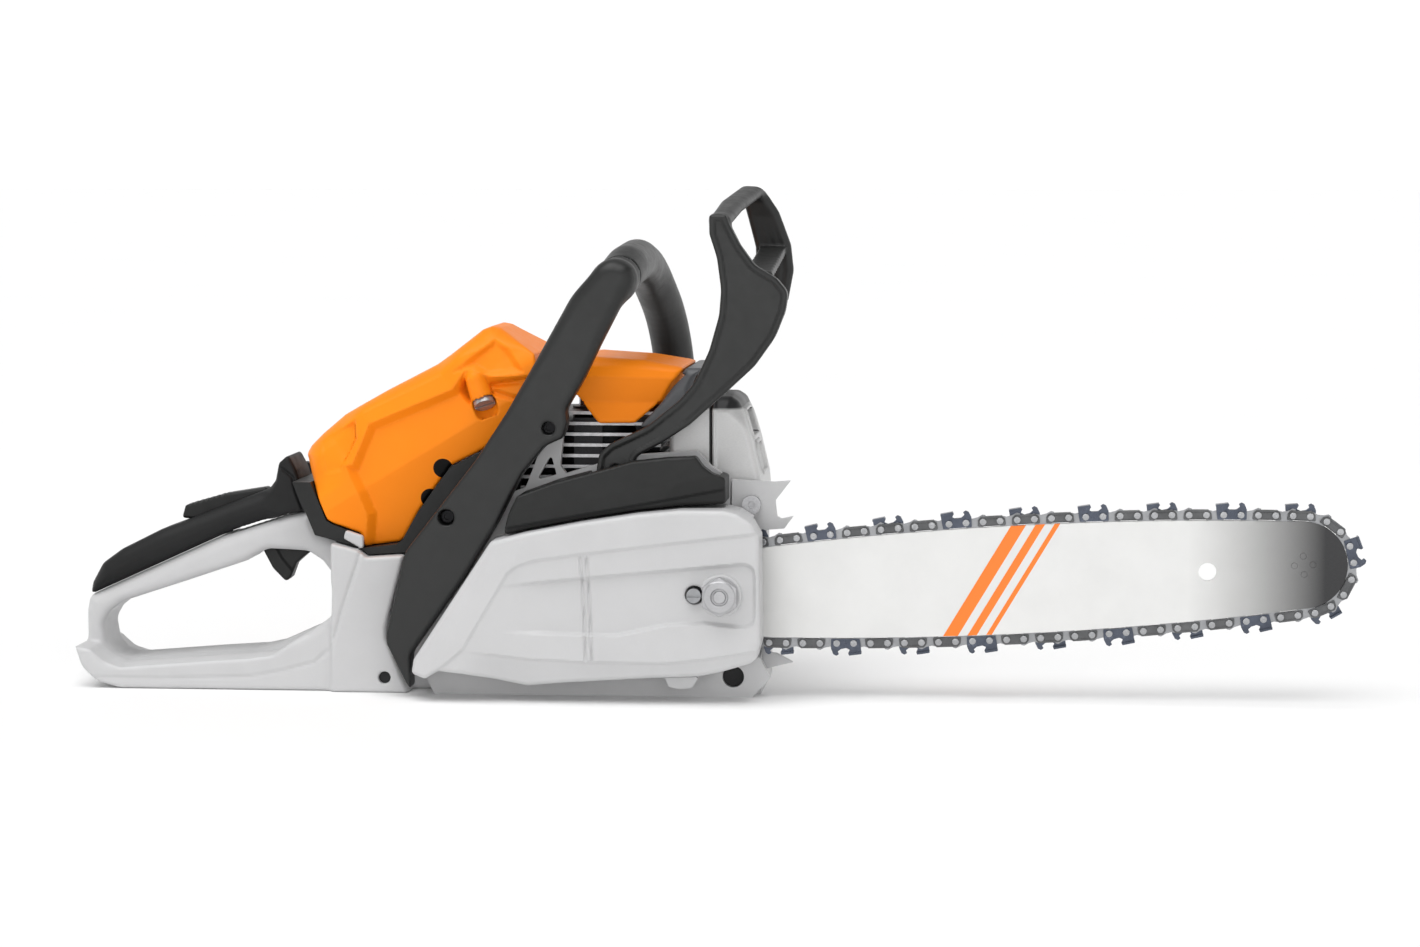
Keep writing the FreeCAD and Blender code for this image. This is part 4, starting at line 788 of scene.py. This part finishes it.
def rear_housing():
    block = Volume((-290, -6, -1), (-66, 94, 101), 1.2)
    outer = block.outline(REAR_HOUSING, [6, 6, 12, 12, 12, 14, 1.5, 3, 3, 2, 2, 2, 2, 2, 3, 6, 40, 40])
    hole = block.outline(HAND_HOLE, 8)
    block.add(block.slab(outer, 26, 64, 8.0))
    rail_zone = block.outline([
        (-292, -4), (-60, -4), (-60, 40), (-150, 40), (-175, 20), (-262, 13), (-278, 22), (-292, 24),
    ], 6)
    skirt = np.maximum(outer, rail_zone)
    rim = block.line([(-300, 6.0), (-238, 5.8), (-187, 7.5), (-168.3, 11.2), (-151, 16), (-142.8, 23),
                      (-139.3, 28.8), (-133.4, 49.4), (-125.1, 73.5), (-122, 90)])
    rim_depth = 0.9 * np.maximum(0, 1 - rim / 1.6)
    block.add(block.slab(skirt, 0 + rim_depth, 75, 2.4), 3.0)
    shoulder = np.maximum(outer, -141 - block.x)
    block.add(block.slab(shoulder, -4 + rim_depth, 92, 2.0), 5.0)
    block.cut(block.slab(hole, -20, 120), 5.0)
    block.add(block.block(-140, -68, 12, 92, 0, 74, 3.0), 1.0)
    block.keep(np.maximum(-288 - block.x, -block.z))
    block.cut(block.block(-204, -154, GRIP_Y - 13, GRIP_Y + 13, 78.5, 120, 1.0))
    block.cut(block.block(-193, -154, GRIP_Y - 7.5, GRIP_Y + 7.5, 60, 100, 1.0))
    tab = block.outline([(-133.4, 90.3), (-123.2, 87), (-123.3, 79.3), (-134.4, 85.4)], 1)
    block.add(block.slab(tab, 1.0, 6.0, 0.6))
    block.cut(block.round_y(-118, 44, 15.3, 86, 100))
    block.cut(block.round_y(-111, 8.5, 3.4, -8, 4), 0.6)
    block.piece("pale_rear_handle", "saw", "rear_handle_housing", "light_grey_plastic")


def rear_grip():
    block = Volume((-289, 24, 46), (-157, 66, 132), 0.9)
    flat = block.outline(REAR_GRIP, [3, 6, 8, 14, 30, 20, 14, 4, 2, 2, 2, 3, 1, 1, 40, 40])
    edge = 9.0 - 6.5 * smooth_step((block.x + 186) / 12)
    block.add(block.slab(flat, 26, 64, edge))
    block.cut(block.block(-236, -174, GRIP_Y - 8, GRIP_Y + 8, 84, 130, 1.0), 1.0)
    block.cut(block.block(-204, -166, GRIP_Y - 13, GRIP_Y + 13, 80, 99, 1.0))
    seam = block.line([(-176.4, 124), (-168, 117.4), (-166, 109), (-161, 96)])
    block.cut(block.slab(seam - 0.7, 20, 27.2), 0.8)
    block.piece("soft_rear_grip", "saw", "rear_grip", "soft_grip")


def throttle_trigger():
    block = Volume((-190, 37, 54), (-153, 53, 93), 0.6)
    flat = block.outline([
        (-188, 74.5), (-182.5, 64), (-175, 56.5), (-172, 59), (-169, 67), (-163, 72.3), (-156.5, 76),
        (-155, 84), (-157, 90), (-163, 91), (-169, 86), (-184, 82.5),
    ], 2.5)
    rib = block.line([(-185, 76), (-180, 67), (-174, 60)])
    block.add(block.slab(flat, GRIP_Y - 6 + 1.2 * smooth_step((rib - 3) / 2), GRIP_Y + 6, 1.6))
    block.add(block.round_y(*TRIGGER_PIVOT, 2.0, GRIP_Y - 16, GRIP_Y + 16))
    block.piece("black_trigger", "trigger", "throttle_trigger", "black_plastic")


def throttle_lockout():
    block = Volume((-236, 37, 89), (-181, 53, 112), 0.6)
    flat = block.outline([
        (-234.5, 92.5), (-232.5, 99.5), (-230, 100.6), (-210, 106.4), (-186, 110.3), (-183, 106),
        (-183, 97.5), (-190, 96.5), (-196, 96.5), (-212, 93), (-220, 90.8),
    ], 1.5)
    ribbed = smooth_step((block.x + 232) / 4) * smooth_step((-206 - block.x) / 4)
    ribs = 0.5 * np.maximum(0, np.cos(block.x * 2.0)) * ribbed
    block.add(block.slab(flat + ribs * (block.z > 98), GRIP_Y - 6.5, GRIP_Y + 6.5, 1.8))
    block.add(block.round_y(-188, 101, 1.5, GRIP_Y - 11.7, GRIP_Y + 11.7))
    block.piece("black_lockout", "lockout", "throttle_lockout", "black_plastic")


# ---------- front handle and hand guard
HANDLE_ARM = [
    (18, 241.5), (11, 238.5), (-4, 221.5), (-24.5, 184.5), (-39.5, 158), (-56.5, 131.7), (-96.3, 80.5),
    (-101.7, 56.6), (-107, 35.5), (-106.8, 29.8), (-97, 10), (-93, 3), (-93.5, 24), (-63.5, 66.5),
    (-45, 97), (-37.5, 112), (-31, 124.5), (-18.5, 139.5), (-8.5, 144), (-6, 152), (-6.7, 159.5),
    (3, 176), (12.3, 195), (24.5, 218.5), (30, 229), (29, 238),
]
HANDLE_PATH = [
    (19.5, -7, 229.5), (21.5, 26, 236), (21.5, 84, 238.5), (23.5, 120, 232.5), (32.5, 164, 198),
    (38, 172, 130), (38, 168, 60), (35, 160, 20), (35, 131.2, 20),
]


def front_handle():
    block = Volume((-109, -24, 1), (53, 186, 258), 1.35)
    flat = block.outline(HANDLE_ARM, [10, 20, 40, 60, 60, 20, 14, 30, 20, 8, 3, 2, 8, 40, 40, 20, 20, 10,
                                      4, 6, 6, 30, 40, 40, 12, 10])
    edge = 1.8 + 5.5 * smooth_step((block.z - 120) / 110)
    block.add(block.slab(flat, -22, -6, edge))
    block.add_tube(bent_path(HANDLE_PATH, 70, 9), 12.0, 5.0)
    crease = block.line([(-4, 152), (3, 172), (14, 193.5), (26, 216), (31, 226)])
    block.cut(block.slab(crease - 0.5, -40, -21.2 + 0.6 * smooth_step((block.z - 150) / 30)), 0.5)
    cuff = np.abs(block.y + 1.0 - 0.30 * (block.x - 20)) - 0.6
    ring = 11.2 - np.hypot(block.x - 19.8, block.z - 230.8)
    block.cut(np.maximum(np.maximum(cuff, ring), 214 - block.z), 0.3)
    for (x, z), radius in (((-73, 100), 4.5), ((-16.4, 149.4), 3.6)):
        block.cut(block.round_y(x, z, radius, -30, -12), 0.8)
        block.cut(block.round_y(x, z, 2.2, -30, 0))
    block.piece("black_front_handle", "saw", "front_handle", "handle_black")


GUARD_ARM = [
    (71.2, 265.6), (71.2, 255.5), (75.4, 242.5), (77.7, 225), (76.6, 211), (71.2, 192), (63, 174),
    (54.5, 164.3), (36.7, 150), (16.5, 140.5), (10.5, 135), (9, 124), (14, 113), (26, 113), (31, 124),
    (30, 133), (46, 141.7), (60.5, 151.3), (82, 170.5), (96, 183.5), (107, 199), (112.6, 213),
    (114.4, 223.7), (108, 231.3), (96, 238.5), (88, 249.5), (82, 261.3), (80.5, 265.6),
]


def hand_guard():
    block = Volume((8, -18, 105), (116, 118, 283), 1.0)
    flat = block.outline(GUARD_ARM, [1.2, 8, 30, 30, 30, 30, 30, 30, 20, 8, 8, 8, 4, 4, 8, 8, 20, 20, 30,
                                     30, 30, 14, 8, 8, 14, 14, 6, 1.2])
    rim = 1.2 * smooth_step((-flat - 2.2) / 1.6)
    block.add(block.slab(flat, -16 + rim, -6, 1.4))
    rear_edge = bent_path([
        (74.4, -10.5, 262.4), (76, 40, 269.8), (82.5, 103, 277.6), (86, 107, 264), (90.5, 110, 246),
        (91, 111, 232), (89, 112, 218),
    ], 9)
    front_edge = bent_path([
        (79.5, -10.5, 261.9), (82.5, 40, 269.3), (89.5, 103, 277.2), (98, 107, 264), (104.5, 110, 246),
        (106, 111, 232), (103, 112, 216),
    ], 9)
    for share in (0, 0.34, 0.67, 1):
        ribbon = [a * (1 - share) + b * share for a, b in zip(rear_edge, front_edge)]
        block.add_tube(ribbon, 3.3, 2.0)
    sill = np.abs(block.z - 232.5 - 0.094 * (block.y + 8)) - 2.3
    sill = np.maximum(sill, np.abs(block.x - 97.5) - 7.5)
    block.add(np.maximum(sill, np.maximum(-9 - block.y, block.y - 112)), 1.5)
    stay = bent_path([(98, 113, 214), (70, 113, 176), (44, 112, 150), (27, 110, 136), (20, 108, 127)], 30)
    block.add_tube(stay, 4.0, 4.0)
    block.add(block.round_y(*GUARD_PIVOT, 6.5, 104.4, 112, 1.0), 2.0)
    block.cut(block.round_y(*GUARD_PIVOT, 3.05, -30, 120))
    block.piece("black_hand_guard", "guard", "hand_guard", "handle_black")


# ---------- starter side
STARTER_COVER = [
    (-62, 14), (-54, 4), (42, 4), (50, 14), (50, 70), (50, 84), (44, 91.5), (44, 100), (36, 110), (-16, 110),
    (-44, 100), (-60, 76),
]
CRANK_Z = 52.0
PULL = (-27.0, 112.0)


def starter_cover():
    block = Volume((-64, 82, 2), (52, 133, 128), 1.1)
    flat = block.outline(STARTER_COVER, 6)
    disc = np.hypot(block.x, block.z - CRANK_Z)
    relief = 3.0 * smooth_step((disc - 40) / 5)
    block.add(block.slab(flat, 84, 131 - relief, 5.0))
    block.cut(block.slab(flat + WALL, 70, 128.2 - relief, 4.0))
    for i in range(9):
        angle = math.radians(40 * i + 10)
        along = block.x * math.cos(angle) - (block.z - CRANK_Z) * math.sin(angle)
        across = block.x * math.sin(angle) + (block.z - CRANK_Z) * math.cos(angle)
        slot = np.hypot(np.maximum(np.abs(along - 24.5) - 12, 0), across) - 1.8
        block.cut(block.slab(slot, 124, 134), 0.8)
    block.add(block.round_y(0, CRANK_Z, 5.5, 108, 128.5))
    block.add(block.round_z(*PULL, 6.5, 104, 113, 1.2), 1.5)
    block.add(block.block(13, 27, 96, 104, 106, 126, 1.5), 1.5)
    block.add(block.round_y(*GUARD_PIVOT, 7, 96, 104, 1.0), 1.5)
    block.add(block.round_y(*GUARD_PIVOT, 2.95, 103, 112))
    block.cut(block.round_z(*PULL, 2.6, 90, 140), 0.8)
    block.cut(block.round_z(14, 91, 3.2, 100, 120))
    block.cut(block.block(45.6, 70, 60, 98.5, -5, 46.5))
    block.piece("pale_starter_cover", "saw", "starter_cover", "light_grey_plastic")


def starter_grip():
    block = Volume((-55, 103, 111), (1, 121, 141), 0.7)
    x, y = PULL
    block.add(block.round_z(x, y, 5.0, 113.3, 127, 1.0))
    bar = bent_path([(x - 20, y, 129), (x, y, 132), (x + 20, y, 129)], 60)
    block.add_tube(bar, 6.0, 3.0)
    block.cut(block.round_z(x, y, 1.8, 100, 124.9))
    block.piece("black_starter_grip", "pull", "starter_grip", "black_plastic")


def bar_nut():
    block = Volume((68, -49, 49), (91, -39, 72), 0.4)
    away = [block.x - STUD[0], block.z - STUD[1]]
    flats = [abs(away[0] * math.cos(a) + away[1] * math.sin(a)) for a in (0, math.pi / 3, 2 * math.pi / 3)]
    hexagon = np.maximum(np.maximum(flats[0], flats[1]), flats[2]) - 9.4
    disc = np.hypot(*away)
    block.add(block.slab(hexagon, -46.8, -40.2, 0.6))
    block.keep(block.slab(disc - 10.7, -47.2, -39, 1.6))
    block.add(block.slab(disc - 8.6, -47.4, -44, 0.6), 0.4)
    block.add(block.slab(disc - 10.1, -41.4, -40.06, 0.4))
    block.cut(block.slab(np.abs(disc - 4.0) - 0.6, -60, -46.2), 0.3)
    block.piece("zinc_bar_nut", "nut", "bar_nut", "nut", "zinc")


# ---------- muffler
MUFFLER = [(46, 92), (46, 160), (50, 164.5), (80, 164.5), (84.5, 161.5), (88, 154), (92.5, 138),
           (97, 119), (99, 97), (95, 92)]
SEAM_X = 70.0


def muffler(front):
    low, high = (SEAM_X + 0.1, 104) if front else (44, SEAM_X - 0.1)
    block = Volume((low - 2, 13, 90), (high + 2, 97, 171), 0.9)
    flat = block.outline(MUFFLER, 5)
    edge = 3.0 + 8.0 * smooth_step((block.z - 146) / 14)
    block.add(block.slab(flat, 17, 93, edge))
    block.cut(block.slab(flat + 1.3, 18.3, 91.7, edge))
    block.cut(block.block(low - 20, low, 0, 120, 80, 180))
    block.cut(block.block(high, high + 20, 0, 120, 80, 180))
    if front:
        lip = np.maximum(block.slab(flat - 0.9, 16.1, 93.9, edge), -block.slab(flat + 1.0, 18, 92, edge))
        lip = np.maximum(lip, np.maximum(block.x - SEAM_X - 2.2, SEAM_X + 0.1 - block.x))
        block.add(lip, 0.3)
        for y0, y1, z0, z1 in ((30, 66, 142, 156), (36, 64, 122, 137)):
            hole = block.block(80, 108, y0, y1, z0, z1, 3.0)
            block.add(np.maximum(hole - 1.8, np.maximum(flat - 1.6, 82 - block.x)), 0.8)
            block.cut(np.maximum(hole, 78 - block.x) if z0 > 130 else np.maximum(hole, -flat - 0.4), 0.6)
        block.cut(block.block(84, 108, 26, 70, 106, 111, 1.0), 0.6)
    else:
        block.cut(block.round_x(53, 116, 8, 40, 60))
    name = "muffler_front" if front else "muffler_rear"
    block.piece(name, "saw", name + "_shell", "muffler")


for make in (filter_cover, front_shroud, shroud_trim, sprocket_cover, brake_cover, rear_housing,
             rear_grip, throttle_trigger, throttle_lockout, front_handle, hand_guard, starter_cover,
             starter_grip, bar_nut):
    make()
muffler(True)
muffler(False)


# ---------- pieces kept from the CAD: softened edges
SOFT_EDGES = {
    "engine_housing": 0.8, "filter_base": 1.0, "chain_catcher": 1.2, "bumper_spike": 0.3,
    "fuel_cap": 0.8, "oil_cap": 0.8, "cylinder": 0.35, "guide_bar": 0.15, "master_control_lever": 0.8,
    "chain_cutters": 0.15, "chain_tie_straps": 0.15, "chain_drive_links": 0.12, "chain_rivets": 0.6,
    "filter_cover_lock": 0.5, "tension_screw": 0.3, "carburetor": 0.4, "ignition_module": 0.5,
    "housing_screws": 0.4, "flywheel": 0.3, "clutch_drum": 0.3, "starter_pulley": 0.3, "air_filter": 1.0,
}

for name, width in SOFT_EDGES.items():
    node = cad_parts[name]
    weld = node.modifiers.new("weld", "WELD")
    weld.merge_threshold = 1e-6
    bevel = node.modifiers.new("edges", "BEVEL")
    bevel.width, bevel.segments = width * MM, 2
    bevel.limit_method, bevel.angle_limit = "ANGLE", math.radians(32)
    normals = node.modifiers.new("normals", "WEIGHTED_NORMAL")
    normals.keep_sharp = False


# ---------- floor, lights and camera
def soft_light(name, place_at, target, width, height, power):
    lamp = bpy.data.lights.new(name, "AREA")
    lamp.shape, lamp.size, lamp.size_y = "RECTANGLE", width, height
    lamp.energy = power
    made = new_object(name, lamp)
    made.location = place_at
    made.rotation_euler = (Vector(target) - Vector(place_at)).to_track_quat("-Z", "Y").to_euler()


def pale_floor():
    mesh = bpy.data.meshes.new("floor")
    mesh.from_pydata([(-30, -30, 0), (30, -30, 0), (30, 30, 0), (-30, 30, 0)], [], [(0, 1, 2, 3)])
    made = new_object("floor", mesh)
    finish = Finish("floor paper")
    tone = finish.ramp(finish.noise(3, 3, 0.5), [(0.3, (0.90, 0.90, 0.90)), (0.7, (0.91, 0.91, 0.91))])
    made.data.materials.append(finish.set(colour=tone, roughness=0.9, specular=0.1))


def studio():
    """A white cove round the saw, dimmer high up, with a soft lamp above and two weaker ones in front."""
    pale_floor()
    world = bpy.data.worlds.new("studio")
    world.use_nodes = True
    tree = world.node_tree
    background = tree.nodes["Background"]
    height = tree.nodes.new("ShaderNodeSeparateXYZ")
    tree.links.new(tree.nodes.new("ShaderNodeTexCoord").outputs["Generated"], height.inputs[0])
    fade = tree.nodes.new("ShaderNodeValToRGB")
    fade.color_ramp.elements[0].position, fade.color_ramp.elements[0].color = 0.2, (1.05, 1.05, 1.05, 1)
    fade.color_ramp.elements[1].position, fade.color_ramp.elements[1].color = 0.55, (0.28, 0.28, 0.28, 1)
    tree.links.new(height.outputs["Z"], fade.inputs["Fac"])
    tree.links.new(fade.outputs["Color"], background.inputs["Color"])
    bpy.context.scene.world = world
    lamp = bpy.data.lights.new("overhead", "SUN")
    lamp.energy, lamp.angle = 2.4, math.radians(60)
    new_object("overhead", lamp).rotation_euler = (math.radians(16), math.radians(-8), 0)
    soft_light("right front", (1.6, -1.7, 1.3), (0, 0, 0.12), 1.2, 1.2, 1.5)
    soft_light("low fill", (0.1, -2.7, 0.35), (0, 0, 0.08), 2.4, 0.6, 7)
    bpy.context.scene.view_settings.view_transform = "Standard"


CAMERA_AZIMUTH = math.radians(5)
CAMERA_ELEVATION = math.radians(5)
CAMERA_DISTANCE = 2.0
CAMERA_AIM = row(70.4, 0, 123.5)
FRAME_WIDTH = 0.781         # what the camera takes in across, at the aim's distance


def camera():
    lens = bpy.data.cameras.new("camera")
    lens.sensor_width = 36.0
    lens.lens = lens.sensor_width * CAMERA_DISTANCE / FRAME_WIDTH
    lens.clip_end = 200.0
    made = new_object("camera", lens)
    flat = math.cos(CAMERA_ELEVATION)
    back = Vector((math.sin(CAMERA_AZIMUTH) * flat, -math.cos(CAMERA_AZIMUTH) * flat,
                   math.sin(CAMERA_ELEVATION)))
    made.location = CAMERA_AIM + back * CAMERA_DISTANCE
    made.rotation_mode = "QUATERNION"
    made.rotation_quaternion = (-back).to_track_quat("-Z", "Y")
    bpy.context.scene.camera = made


studio()
camera()
